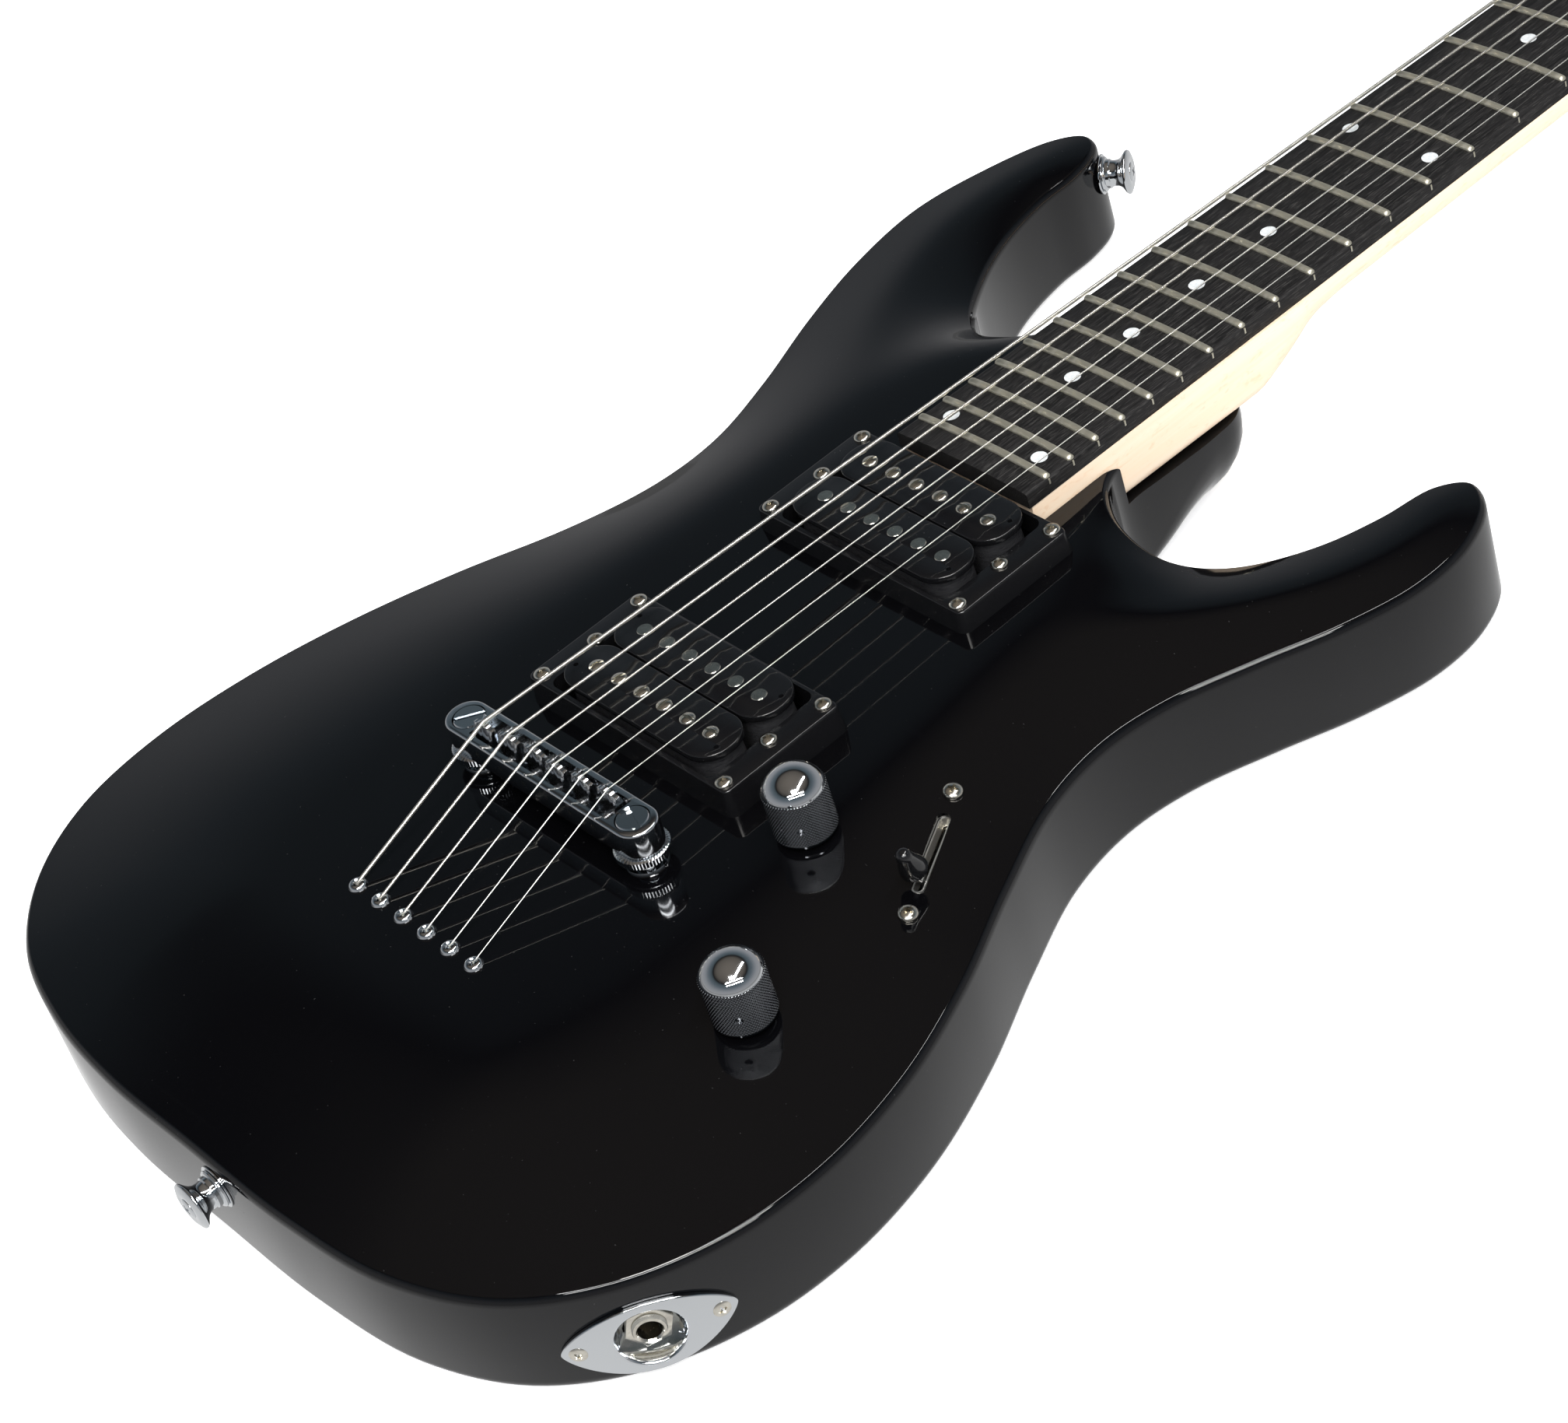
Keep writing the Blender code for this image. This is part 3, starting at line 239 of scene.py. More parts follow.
def turned(name, profile, sides=48, ripple=None, angle=35):
    """Turn a profile of (radius, height) about Z; ripple adds to a radius by turn and height."""
    points, rows = [], []
    for radius, height in profile:
        if radius < 1e-9:
            rows.append([len(points)])
            points.append((0, 0, height))
            continue
        rows.append(list(range(len(points), len(points) + sides)))
        for k in range(sides):
            turn = 2 * math.pi * k / sides
            reach = radius + (ripple(turn, height) if ripple else 0.0)
            points.append((reach * math.cos(turn), reach * math.sin(turn), height))
    faces = []
    for lower, upper in zip(rows, rows[1:]):
        for k in range(sides):
            n = (k + 1) % sides
            if len(lower) == 1:
                faces.append((lower[0], upper[n], upper[k]))
            elif len(upper) == 1:
                faces.append((lower[k], lower[n], upper[0]))
            else:
                faces.append((lower[k], lower[n], upper[n], upper[k]))
    return mesh_of(name, points, faces, angle)


def arc(centre, radius, start, end, steps=5):
    """Points of a profile along a round corner, in degrees."""
    turns = [math.radians(start + (end - start) * k / steps) for k in range(steps + 1)]
    return [(centre[0] + radius * math.cos(a), centre[1] + radius * math.sin(a)) for a in turns]


def rounded_rectangle(half_x, half_y, radius, steps=8, centre=(0, 0)):
    points = []
    for quarter, (sx, sy) in enumerate(((1, 1), (-1, 1), (-1, -1), (1, -1))):
        for k in range(steps + 1):
            turn = math.pi / 2 * (quarter + k / steps)
            points.append((centre[0] + sx * (half_x - radius) + radius * math.cos(turn),
                           centre[1] + sy * (half_y - radius) + radius * math.sin(turn)))
    return points


def mixed(a, b, low, high, at):
    return ((high - at) * a + (at - low) * b) / (high - low)


def smooth_closed(points, steps):
    """Centripetal Catmull-Rom curve through a closed list of points."""
    count = len(points)
    curve = []
    for i in range(count):
        p = [np.array(points[(i + k) % count], float) for k in (-1, 0, 1, 2)]
        k = [0.0]
        for a, b in zip(p, p[1:]):
            k.append(k[-1] + np.linalg.norm(b - a) ** 0.5)
        for s in range(steps):
            t = k[1] + (k[2] - k[1]) * s / steps
            a = [mixed(p[n], p[n + 1], k[n], k[n + 1], t) for n in range(3)]
            b = [mixed(a[n], a[n + 1], k[n], k[n + 2], t) for n in range(2)]
            curve.append(mixed(b[0], b[1], k[1], k[2], t))
    return np.array(curve)


def inward_normals(curve):
    along = np.roll(curve, -1, axis=0) - np.roll(curve, 1, axis=0)
    normals = np.stack([-along[:, 1], along[:, 0]], axis=1)
    return normals / np.linalg.norm(normals, axis=1)[:, None]


def tube(name, route, radius, sides=10):
    """A round tube along a list of points."""
    rings, side = [], None
    for k, spot in enumerate(route):
        along = (route[min(k + 1, len(route) - 1)] - route[max(k - 1, 0)]).normalized()
        if side is None:
            side = along.orthogonal().normalized()
        side = (side - along * side.dot(along)).normalized()
        other = along.cross(side)
        size = radius(k) if callable(radius) else radius
        rings.append([spot + size * (side * math.cos(a) + other * math.sin(a))
                      for a in (2 * math.pi * n / sides for n in range(sides))])
    return loft(name, rings, 60)


def cut(mesh, cutter, operation="DIFFERENCE"):
    """The mesh left when another mesh is cut from it or added to it."""
    host = bpy.data.objects.new("host", mesh)
    tool = bpy.data.objects.new("tool", cutter)
    for made in (host, tool):
        bpy.context.scene.collection.objects.link(made)
    step = host.modifiers.new("cut", "BOOLEAN")
    step.operation = operation
    step.solver = "EXACT"
    step.object = tool
    bpy.context.view_layer.update()
    graph = bpy.context.evaluated_depsgraph_get()
    made = bpy.data.meshes.new_from_object(host.evaluated_get(graph))
    made.name = mesh.name
    for old in (host, tool):
        bpy.data.objects.remove(old, do_unlink=True)
    made.shade_smooth()
    made.set_sharp_from_angle(angle=math.radians(35))
    return made


def together(name, meshes, moves=None):
    """One mesh from several, each moved by its matrix."""
    work = bmesh.new()
    for k, mesh in enumerate(meshes):
        copy = mesh.copy()
        if moves and moves[k] is not None:
            copy.transform(moves[k])
        work.from_mesh(copy)
        bpy.data.meshes.remove(copy)
    made = bpy.data.meshes.new(name)
    work.to_mesh(made)
    work.free()
    return made


def ease(value):
    value = np.clip(value, 0.0, 1.0)
    return value * value * (3 - 2 * value)


# ---- effects shared by materials ------------------------------------------------------------------
def new_group(name, inputs, outputs):
    tree = bpy.data.node_groups.new(name, "ShaderNodeTree")
    for label, value in inputs:
        socket = tree.interface.new_socket(label, in_out="INPUT", socket_type="NodeSocketFloat")
        socket.default_value = value
    for label, kind in outputs:
        tree.interface.new_socket(label, in_out="OUTPUT", socket_type=kind)
    return tree, tree.nodes.new("NodeGroupInput"), tree.nodes.new("NodeGroupOutput")


def math_node(tree, operation, a, b=None, clamp=False):
    node = tree.nodes.new("ShaderNodeMath")
    node.operation = operation
    node.use_clamp = clamp
    for place, value in enumerate((a, b)):
        if value is None:
            continue
        if isinstance(value, (int, float)):
            node.inputs[place].default_value = value
        else:
            tree.links.new(value, node.inputs[place])
    return node.outputs[0]


def stretched(tree, scale):
    """Object coordinates in millimetres, multiplied along each axis."""
    place = tree.nodes.new("ShaderNodeTexCoord")
    mapped = tree.nodes.new("ShaderNodeMapping")
    mapped.inputs["Scale"].default_value = tuple(1000 * s for s in scale)
    tree.links.new(place.outputs["Object"], mapped.inputs["Vector"])
    return mapped.outputs["Vector"]


def noise(tree, vector, scale, detail=3.0, roughness=0.5, distortion=0.0):
    node = tree.nodes.new("ShaderNodeTexNoise")
    tree.links.new(vector, node.inputs["Vector"])
    if isinstance(scale, (int, float)):
        node.inputs["Scale"].default_value = scale
    else:
        tree.links.new(scale, node.inputs["Scale"])
    node.inputs["Detail"].default_value = detail
    node.inputs["Roughness"].default_value = roughness
    node.inputs["Distortion"].default_value = distortion
    return node.outputs[0]


def band(tree, value, low, high, to_low=0.0, to_high=1.0):
    node = tree.nodes.new("ShaderNodeMapRange")
    node.clamp = True
    tree.links.new(value, node.inputs["Value"])
    for label, number in (("From Min", low), ("From Max", high), ("To Min", to_low),
                          ("To Max", to_high)):
        node.inputs[label].default_value = number
    return node.outputs[0]


def handling_group():
    """Faint smears, hairline scratches and specks of dust, each as a mask."""
    tree, given, out = new_group("Handling Marks", [("Smear Size", 0.03), ("Scratch Size", 0.6)],
                                 [("Smears", "NodeSocketFloat"), ("Scratches", "NodeSocketFloat"),
                                  ("Dust", "NodeSocketFloat")])
    even = stretched(tree, (1, 1, 1))
    smears = noise(tree, even, given.outputs["Smear Size"], 4.0, 0.6, 0.4)
    tree.links.new(band(tree, smears, 0.35, 0.75), out.inputs["Smears"])
    lines = []
    for scale in ((1, 0.03, 1), (0.03, 1, 0.4)):
        thin = noise(tree, stretched(tree, scale), given.outputs["Scratch Size"], 2.0, 0.7)
        lines.append(band(tree, thin, 0.66, 0.7))
    tree.links.new(math_node(tree, "MAXIMUM", *lines), out.inputs["Scratches"])
    specks = noise(tree, even, 1.1, 1.0, 0.5)
    tree.links.new(band(tree, specks, 0.79, 0.82), out.inputs["Dust"])
    return tree


def grain_group():
    """Straight grain along Y: long streaks, open pores and short flecks."""
    tree, given, out = new_group("Straight Grain", [("Fineness", 1.0)],
                                 [("Streaks", "NodeSocketFloat"), ("Pores", "NodeSocketFloat"),
                                  ("Flecks", "NodeSocketFloat"), ("Bands", "NodeSocketFloat")])
    fine = given.outputs["Fineness"]
    long = stretched(tree, (1, 0.012, 1))
    tree.links.new(noise(tree, long, fine, 5.0, 0.62, 0.3), out.inputs["Streaks"])
    pores = noise(tree, stretched(tree, (1, 0.05, 1)), math_node(tree, "MULTIPLY", fine, 2.6),
                  2.0, 0.6)
    tree.links.new(band(tree, pores, 0.56, 0.68), out.inputs["Pores"])
    flecks = noise(tree, stretched(tree, (1, 0.35, 1)), math_node(tree, "MULTIPLY", fine, 0.9),
                   2.0, 0.7, 0.5)
    tree.links.new(band(tree, flecks, 0.58, 0.7), out.inputs["Flecks"])
    wide = noise(tree, stretched(tree, (0.09, 0.004, 0.09)), 1.0, 2.0, 0.5, 0.8)
    tree.links.new(wide, out.inputs["Bands"])
    return tree


def place_group(tree, group, **values):
    node = tree.nodes.new("ShaderNodeGroup")
    node.node_tree = group
    for label, value in values.items():
        node.inputs[label.replace("_", " ")].default_value = value
    return node


# ---- materials --------------------------------------------------------------------------------
def plain(name, colour, roughness, metallic=0.0, coat=0.0, coat_roughness=0.03):
    made = bpy.data.materials.new(name)
    made.use_nodes = True
    shader = made.node_tree.nodes["Principled BSDF"]
    shader.inputs["Base Color"].default_value = (*colour, 1.0)
    shader.inputs["Roughness"].default_value = roughness
    shader.inputs["Metallic"].default_value = metallic
    shader.inputs["Coat Weight"].default_value = coat
    shader.inputs["Coat Roughness"].default_value = coat_roughness
    return made, made.node_tree, shader


def colour_mix(tree, factor, a, b):
    node = tree.nodes.new("ShaderNodeMix")
    node.data_type = "RGBA"
    if isinstance(factor, (int, float)):
        node.inputs[0].default_value = factor
    else:
        tree.links.new(factor, node.inputs[0])
    for place, value in ((6, a), (7, b)):
        if isinstance(value, tuple):
            node.inputs[place].default_value = (*value, 1.0)
        else:
            tree.links.new(value, node.inputs[place])
    return node.outputs[2]


def add_bump(tree, shader, height, strength, distance):
    node = tree.nodes.new("ShaderNodeBump")
    node.inputs["Strength"].default_value = strength
    node.inputs["Distance"].default_value = distance
    tree.links.new(height, node.inputs["Height"])
    tree.links.new(node.outputs["Normal"], shader.inputs["Normal"])
    return node


def handled(name, colour, roughness, metallic=0.0, coat=0.0, smear=0.05, scratch=0.1, dusty=0.0,
            smear_size=0.03, scratch_size=0.6, bump=0.1, tint=None):
    """A hard finish with smears and scratches in its roughness and height."""
    made, tree, shader = plain(name, colour, roughness, metallic, coat)
    marks = place_group(tree, HANDLING, Smear_Size=smear_size, Scratch_Size=scratch_size)
    uneven = math_node(tree, "MULTIPLY", marks.outputs["Smears"], smear)
    lines = math_node(tree, "MULTIPLY", marks.outputs["Scratches"], scratch)
    rough = math_node(tree, "ADD", math_node(tree, "ADD", uneven, lines), roughness, True)
    if dusty:
        rough = math_node(tree, "ADD", rough,
                          math_node(tree, "MULTIPLY", marks.outputs["Dust"], 0.4), True)
        grey = tuple(c + dusty for c in colour)
        tree.links.new(colour_mix(tree, marks.outputs["Dust"], colour, grey),
                       shader.inputs["Base Color"])
    elif tint:
        tree.links.new(colour_mix(tree, marks.outputs["Smears"], colour, tint),
                       shader.inputs["Base Color"])
    tree.links.new(rough, shader.inputs["Roughness"])
    height = math_node(tree, "SUBTRACT", marks.outputs["Smears"], marks.outputs["Scratches"])
    add_bump(tree, shader, height, bump, 0.02 * MM)
    return made


def lacquer():
    made = handled("black gloss lacquer", (0.0014, 0.0014, 0.0018), 0.035, coat=0.0, smear=0.02,
                   scratch=0.05, dusty=0.012, smear_size=0.02, scratch_size=0.35, bump=0.04)
    made.node_tree.nodes["Principled BSDF"].inputs["IOR"].default_value = 1.45
    return made


def maple():
    made, tree, shader = plain("satin maple", (0.8, 0.63, 0.46), 0.32)
    grain = place_group(tree, GRAIN, Fineness=0.55)
    pale = colour_mix(tree, grain.outputs["Bands"], (0.66, 0.525, 0.395), (0.75, 0.63, 0.5))
    streaked = colour_mix(tree, band(tree, grain.outputs["Streaks"], 0.3, 0.72, 0.0, 0.55), pale,
                          (0.7, 0.5, 0.32))
    flecked = colour_mix(tree, math_node(tree, "MULTIPLY", grain.outputs["Flecks"], 0.4), streaked,
                         (0.62, 0.37, 0.2))
    tree.links.new(flecked, shader.inputs["Base Color"])
    tree.links.new(band(tree, grain.outputs["Streaks"], 0.2, 0.8, 0.26, 0.42),
                   shader.inputs["Roughness"])
    add_bump(tree, shader, grain.outputs["Pores"], 0.12, 0.04 * MM)
    return made


def dark_wood():
    made, tree, shader = plain("dark fingerboard wood", (0.012, 0.011, 0.011), 0.5)
    grain = place_group(tree, GRAIN, Fineness=1.5)
    base = colour_mix(tree, band(tree, grain.outputs["Streaks"], 0.36, 0.66),
                      (0.003, 0.0028, 0.0028), (0.013, 0.012, 0.012))
    pored = colour_mix(tree, math_node(tree, "MULTIPLY", grain.outputs["Pores"], 0.75), base,
                       (0.04, 0.038, 0.036))
    shader.inputs["Specular IOR Level"].default_value = 0.22
    tree.links.new(pored, shader.inputs["Base Color"])
    tree.links.new(band(tree, grain.outputs["Streaks"], 0.25, 0.75, 0.34, 0.6),
                   shader.inputs["Roughness"])
    deep = math_node(tree, "SUBTRACT", grain.outputs["Streaks"], grain.outputs["Pores"])
    add_bump(tree, shader, deep, 0.5, 0.07 * MM)
    return made


def fret_wire():
    """Satin nickel wire, faintly paler where each string has rubbed."""
    made, tree, shader = plain("fret wire", (0.5, 0.49, 0.42), 0.24, 1.0)
    marks = place_group(tree, HANDLING, Smear_Size=0.25, Scratch_Size=2.5)
    place = tree.nodes.new("ShaderNodeTexCoord")
    parts = tree.nodes.new("ShaderNodeSeparateXYZ")
    tree.links.new(place.outputs["Object"], parts.inputs[0])
    beat = math_node(tree, "MULTIPLY", parts.outputs["X"], math.pi * 2 / (8.8 * MM))
    wear = band(tree, math_node(tree, "COSINE", math_node(tree, "ADD", beat, math.pi)), 0.82, 0.98)
    tree.links.new(colour_mix(tree, wear, (0.66, 0.63, 0.52), (0.7, 0.67, 0.57)),
                   shader.inputs["Base Color"])
    rough = math_node(tree, "ADD", math_node(tree, "MULTIPLY", wear, 0.04),
                      math_node(tree, "MULTIPLY", marks.outputs["Scratches"], 0.04))
    tree.links.new(math_node(tree, "ADD", rough, 0.46), shader.inputs["Roughness"])
    add_bump(tree, shader, marks.outputs["Scratches"], 0.05, 0.02 * MM)
    return made


def knob_chrome(base):
    """Bright chrome on the dome; the knurled wall below it is painted darker, as painted shade for the
    shadowed grooves of its grip.
    """
    tree = base.node_tree
    shader = tree.nodes["Principled BSDF"]
    place = tree.nodes.new("ShaderNodeTexCoord")
    parts = tree.nodes.new("ShaderNodeSeparateXYZ")
    tree.links.new(place.outputs["Object"], parts.inputs[0])
    dome = band(tree, parts.outputs["Z"], KNOB_WALL - 0.3 * MM, KNOB_WALL)
    # painted shade: the knurled wall gets a darker colour than the dome's chrome, standing in for the
    # shade in its grooves
    tree.links.new(colour_mix(tree, dome, (0.2, 0.21, 0.225), (0.62, 0.64, 0.66)),
                   shader.inputs["Base Color"])
    return base


def pearl():
    made, tree, shader = plain("pearl inlay", (0.8, 0.81, 0.79), 0.2, coat=0.4)
    vector = stretched(tree, (1, 1, 1))
    swirl = noise(tree, vector, 0.5, 3.0, 0.6, 1.6)
    tree.links.new(colour_mix(tree, band(tree, swirl, 0.35, 0.65), (0.42, 0.45, 0.46),
                              (0.6, 0.6, 0.59)), shader.inputs["Base Color"])
    tree.links.new(band(tree, swirl, 0.3, 0.7, 0.14, 0.3), shader.inputs["Roughness"])
    add_bump(tree, shader, swirl, 0.1, 0.03 * MM)
    return made


def wound_wire():
    """A fine wrap on a string, as ribs across its length; its colour is painted darker in the grooves and
    paler on the crests, as painted shade and painted highlight.
    """
    made, tree, shader = plain("wound nickel string", (0.8, 0.77, 0.7), 0.4, 1.0)
    place = tree.nodes.new("ShaderNodeTexCoord")
    parts = tree.nodes.new("ShaderNodeSeparateXYZ")
    tree.links.new(place.outputs["Object"], parts.inputs[0])
    along = math_node(tree, "ADD", parts.outputs["Y"], math_node(tree, "MULTIPLY",
                                                                 parts.outputs["X"], 0.3))
    ribs = math_node(tree, "SINE", math_node(tree, "MULTIPLY", along, math.pi * 2 / (0.32 * MM)))
    # painted shade and highlight: the ribs darken the colour in each groove and lighten it on each crest
    tree.links.new(colour_mix(tree, band(tree, ribs, -1.0, 1.0), (0.62, 0.59, 0.53),
                              (0.95, 0.92, 0.85)), shader.inputs["Base Color"])
    tree.links.new(band(tree, ribs, -1.0, 1.0, 0.42, 0.22), shader.inputs["Roughness"])
    add_bump(tree, shader, ribs, 0.25, 0.02 * MM)
    return made


def coil_tape():
    """Black cloth tape around the coils, with a fine woven rib."""
    made, tree, shader = plain("black coil tape", (0.012, 0.012, 0.013), 0.45)
    weave = noise(tree, stretched(tree, (0.3, 0.3, 4)), 1.2, 2.0, 0.6, 0.3)
    tree.links.new(colour_mix(tree, weave, (0.006, 0.006, 0.007), (0.03, 0.03, 0.032)),
                   shader.inputs["Base Color"])
    tree.links.new(band(tree, weave, 0.3, 0.7, 0.22, 0.5), shader.inputs["Roughness"])
    add_bump(tree, shader, weave, 0.6, 0.15 * MM)
    return made


def make_looks():
    chrome = (0.62, 0.64, 0.66)
    return {
        "lacquer": lacquer(),
        "maple": maple(),
        "dark_wood": dark_wood(),
        "fret_wire": fret_wire(),
        "pearl": pearl(),
        "wound": wound_wire(),
        "tape": coil_tape(),
        "chrome": handled("bright chrome", chrome, 0.05, 1.0, smear=0.06, scratch=0.08,
                          smear_size=0.12, scratch_size=1.2, bump=0.05),
        "knob_chrome": knob_chrome(handled("knob chrome", chrome, 0.05, 1.0, smear=0.05, scratch=0.05,
                                           smear_size=0.1, scratch_size=1.0, bump=0.04)),
        "worn_chrome": handled("cast chrome", chrome, 0.08, 1.0, smear=0.07, scratch=0.08,
                               smear_size=0.15, scratch_size=1.0, bump=0.06, tint=(0.5, 0.52, 0.55)),
        "nickel": handled("nickel screws", (0.72, 0.69, 0.61), 0.15, 1.0, smear=0.08, scratch=0.1,
                          smear_size=0.3, scratch_size=1.0, bump=0.05, tint=(0.48, 0.45, 0.4)),
        "steel": handled("plain steel", (0.52, 0.52, 0.52), 0.2, 1.0, smear=0.15, scratch=0.2,
                         smear_size=0.3, scratch_size=2.0, bump=0.2, tint=(0.4, 0.4, 0.41)),
        "gloss_black": handled("gloss black plastic", (0.004, 0.004, 0.0045), 0.07, smear=0.05,
                               scratch=0.1, dusty=0.02, smear_size=0.1, scratch_size=0.9, bump=0.04),
        "plain_wire": handled("plain steel string", (0.95, 0.93, 0.87), 0.36, 1.0, smear=0.06,
                              scratch=0.04, smear_size=0.05, scratch_size=0.3, bump=0.02,
                              tint=(0.85, 0.83, 0.78)),
        "ring_black": handled("moulded black plastic", (0.004, 0.004, 0.0045), 0.12, smear=0.07,
                              scratch=0.1, dusty=0.02, smear_size=0.1, scratch_size=0.9, bump=0.06),
        "bone": handled("polished nut material", (0.8, 0.77, 0.68), 0.3, smear=0.1, scratch=0.2,
                        smear_size=0.3, scratch_size=2.0, bump=0.2, tint=(0.7, 0.64, 0.52)),
        "dark_inside": handled("shaded inner wood", (0.02, 0.018, 0.016), 0.7, smear=0.1,
                               scratch=0.1, smear_size=0.3, bump=0.4, tint=(0.035, 0.03, 0.025)),
    }


HANDLING = handling_group()
GRAIN = grain_group()
LOOKS = make_looks()


# ---- body -----------------------------------------------------------------------------------------
def distance_to_loop(points, loop):
    start = loop[None, :, :]
    edge = np.roll(loop, -1, axis=0)[None, :, :] - start
    found = []
    for part in np.array_split(points, max(1, len(points) // 3000)):
        away = part[:, None, :] - start
        share = np.clip((away * edge).sum(2) / (edge * edge).sum(2), 0, 1)
        found.append(np.linalg.norm(away - share[:, :, None] * edge, axis=2).min(axis=1))
    return np.concatenate(found)


def inside_loop(points, loop):
    ends = np.roll(loop, -1, axis=0)
    x, y = points[:, 0][:, None], points[:, 1][:, None]
    spans = (loop[:, 1][None] > y) != (ends[:, 1][None] > y)
    rise = ends[:, 1] - loop[:, 1]
    rise = np.where(np.abs(rise) < 1e-12, 1e-12, rise)
    cross = loop[:, 0] + (y - loop[:, 1]) * (ends[:, 0] - loop[:, 0]) / rise
    return (spans & (x < cross)).sum(1) % 2 == 1


def rim_height(points):
    """Height of the carve at the rim: it stays up beside the neck and is low elsewhere."""
    beside = 1 - ease((np.abs(points[:, 0]) - 30 * MM) / (50 * MM))
    forward = ease((points[:, 1] - 120 * MM) / (40 * MM))
    return TOP_Z - EDGE_DROP * (1 - beside * forward)


class ArchedTop:
    """Smoothed height of the arched top on a fine grid, read with its slope."""
    step = 2 * MM
    low = (-0.17, -0.16)
    shape = (171, 251)
    softness = 2.0                  # spread of the smoothing, in steps

    def __init__(self):
        rim = smooth_closed(RIM, 3) * MM
        plateau = np.array(PLATEAU) * MM
        xs = self.low[0] + self.step * np.arange(self.shape[0])
        ys = self.low[1] + self.step * np.arange(self.shape[1])
        spots = np.stack(np.meshgrid(xs, ys, indexing="ij"), -1).reshape(-1, 2)
        out = distance_to_loop(spots, rim) * np.where(inside_loop(spots, rim), 1, -1)
        back = np.where(inside_loop(spots, plateau), 0.0, distance_to_loop(spots, plateau))
        share = out / np.maximum(np.abs(out) + back, 1e-9)
        edge = rim_height(spots)
        height = edge + (TOP_Z - edge) * np.sin(share * math.pi / 2)
        self.height = self.smoothed(height.reshape(self.shape))
        self.slope = np.gradient(self.height, self.step)

    def smoothed(self, field):
        reach = int(3 * self.softness)
        weights = np.exp(-0.5 * (np.arange(-reach, reach + 1) / self.softness) ** 2)
        weights /= weights.sum()
        for axis in (0, 1):
            padded = np.pad(field, [(reach, reach) if a == axis else (0, 0) for a in (0, 1)], "edge")
            total = 0
            for k, w in enumerate(weights):
                total = total + w * np.take(padded, range(k, k + field.shape[axis]), axis)
            field = total
        return field

    def read(self, field, points):
        at = (np.asarray(points) - np.array(self.low)) / self.step
        cell = np.clip(at.astype(int), 0, np.array(self.shape) - 2)
        u, v = (at - cell).T
        i, j = cell.T
        return ((1 - u) * (1 - v) * field[i, j] + u * (1 - v) * field[i + 1, j]
                + (1 - u) * v * field[i, j + 1] + u * v * field[i + 1, j + 1])

    def at(self, points):
        return self.read(self.height, points)

    def normal(self, points):
        dx, dy = (self.read(s, points) for s in self.slope)
        normals = np.stack([-dx, -dy, np.ones(len(dx))], 1)
        return normals / np.linalg.norm(normals, axis=1)[:, None]


TOP = ArchedTop()


def top_at(x, y):
    return float(TOP.at([(x, y)])[0])


def top_turn(x, y):
    """A turn whose Z stands square on the top at a place."""
    return Vector((0, 0, 1)).rotation_difference(Vector(TOP.normal([(x, y)])[0])).to_matrix()


def body_shell():
    rim = smooth_closed(RIM, 8) * MM
    inwards = inward_normals(rim)
    heel = ease((rim[:, 1] - 180 * MM) / (46 * MM)) * ease((rim[:, 0] + 27 * MM) / (40 * MM))
    heel = np.where(rim[:, 0] > 29 * MM, 0.0, heel)
    back = BACK_ROUND + (HEEL_ROUND - BACK_ROUND) * heel
    centre = np.array(HEEL_CENTRE) - rim
    centre = centre / np.linalg.norm(centre, axis=1)[:, None]
    pull = inwards + (centre - inwards) * heel[:, None]
    rings = []
    for turn in np.linspace(90, 0, 8):
        a = math.radians(turn)
        flat = rim + pull * (back * (1 - math.cos(a)))[:, None]
        rings.append(np.column_stack([flat, back * (1 - math.sin(a))]))
    for turn in np.linspace(0, 78, 8):
        a = math.radians(turn)
        flat = rim + inwards * (TOP_ROUND * (1 - math.cos(a)))
        rings.append(np.column_stack([flat, TOP.at(flat) - TOP_ROUND * (1 - math.sin(a))]))
    count = len(rim)
    loop = rings[-1][:, :2]
    step = 4 * MM
    rows = []
    for r in range(int(0.47 / (step * 0.866))):
        y = -0.15 + r * step * 0.866
        rows += [(-0.16 + (c + 0.5 * (r % 2)) * step, y) for c in range(int(0.33 / step))]
    grid = np.array(rows)
    grid = grid[inside_loop(grid, loop)]
    grid = grid[distance_to_loop(grid, loop) > 0.45 * step]
    flat = [Vector(p) for p in np.vstack([loop, grid]) / MM]
    edges = [(i, (i + 1) % count) for i in range(count)]
    spots, _, tiles, *_ = delaunay_2d_cdt(flat, edges, [], 1, 1e-4)
    spots = np.array([tuple(p) for p in spots]) * MM
    heights = TOP.at(spots)
    heights[:count] = rings[-1][:, 2]
    points = [tuple(p) for ring in rings[:-1] for p in ring]
    first = len(points)
    points += [(x, y, z) for (x, y), z in zip(spots, heights)]
    faces = []
    for row in range(len(rings) - 1):
        for i in range(count):
            j = (i + 1) % count
            faces.append((row * count + i, row * count + j, (row + 1) * count + j,
                          (row + 1) * count + i))
    faces += [tuple(first + i for i in tile) for tile in tiles]
    faces.append(tuple(range(count))[::-1])
    return mesh_of("body_shell", points, faces)


def shade_top(mesh):
    """Give the arched top the exact normals of its smooth height."""
    spots = np.array([v.co[:] for v in mesh.vertices])
    near = np.abs(spots[:, 2] - TOP.at(spots[:, :2])) < 0.35 * MM
    exact = TOP.normal(spots[:, :2])
    normals = np.zeros((len(mesh.loops), 3))
    for face in mesh.polygons:
        if face.normal.z < 0.7:
            continue
        for k in face.loop_indices:
            v = mesh.loops[k].vertex_index
            if near[v]:
                normals[k] = exact[v]
    mesh.normals_split_custom_set([tuple(n) for n in normals])


def pocket_cutter():
    return box("pocket", (-HEEL_HALF - GAP, BOARD_START_Y + 0.5 * MM, HEEL_BOTTOM - GAP),
               (HEEL_HALF + GAP, 280 * MM, 20 * MM))


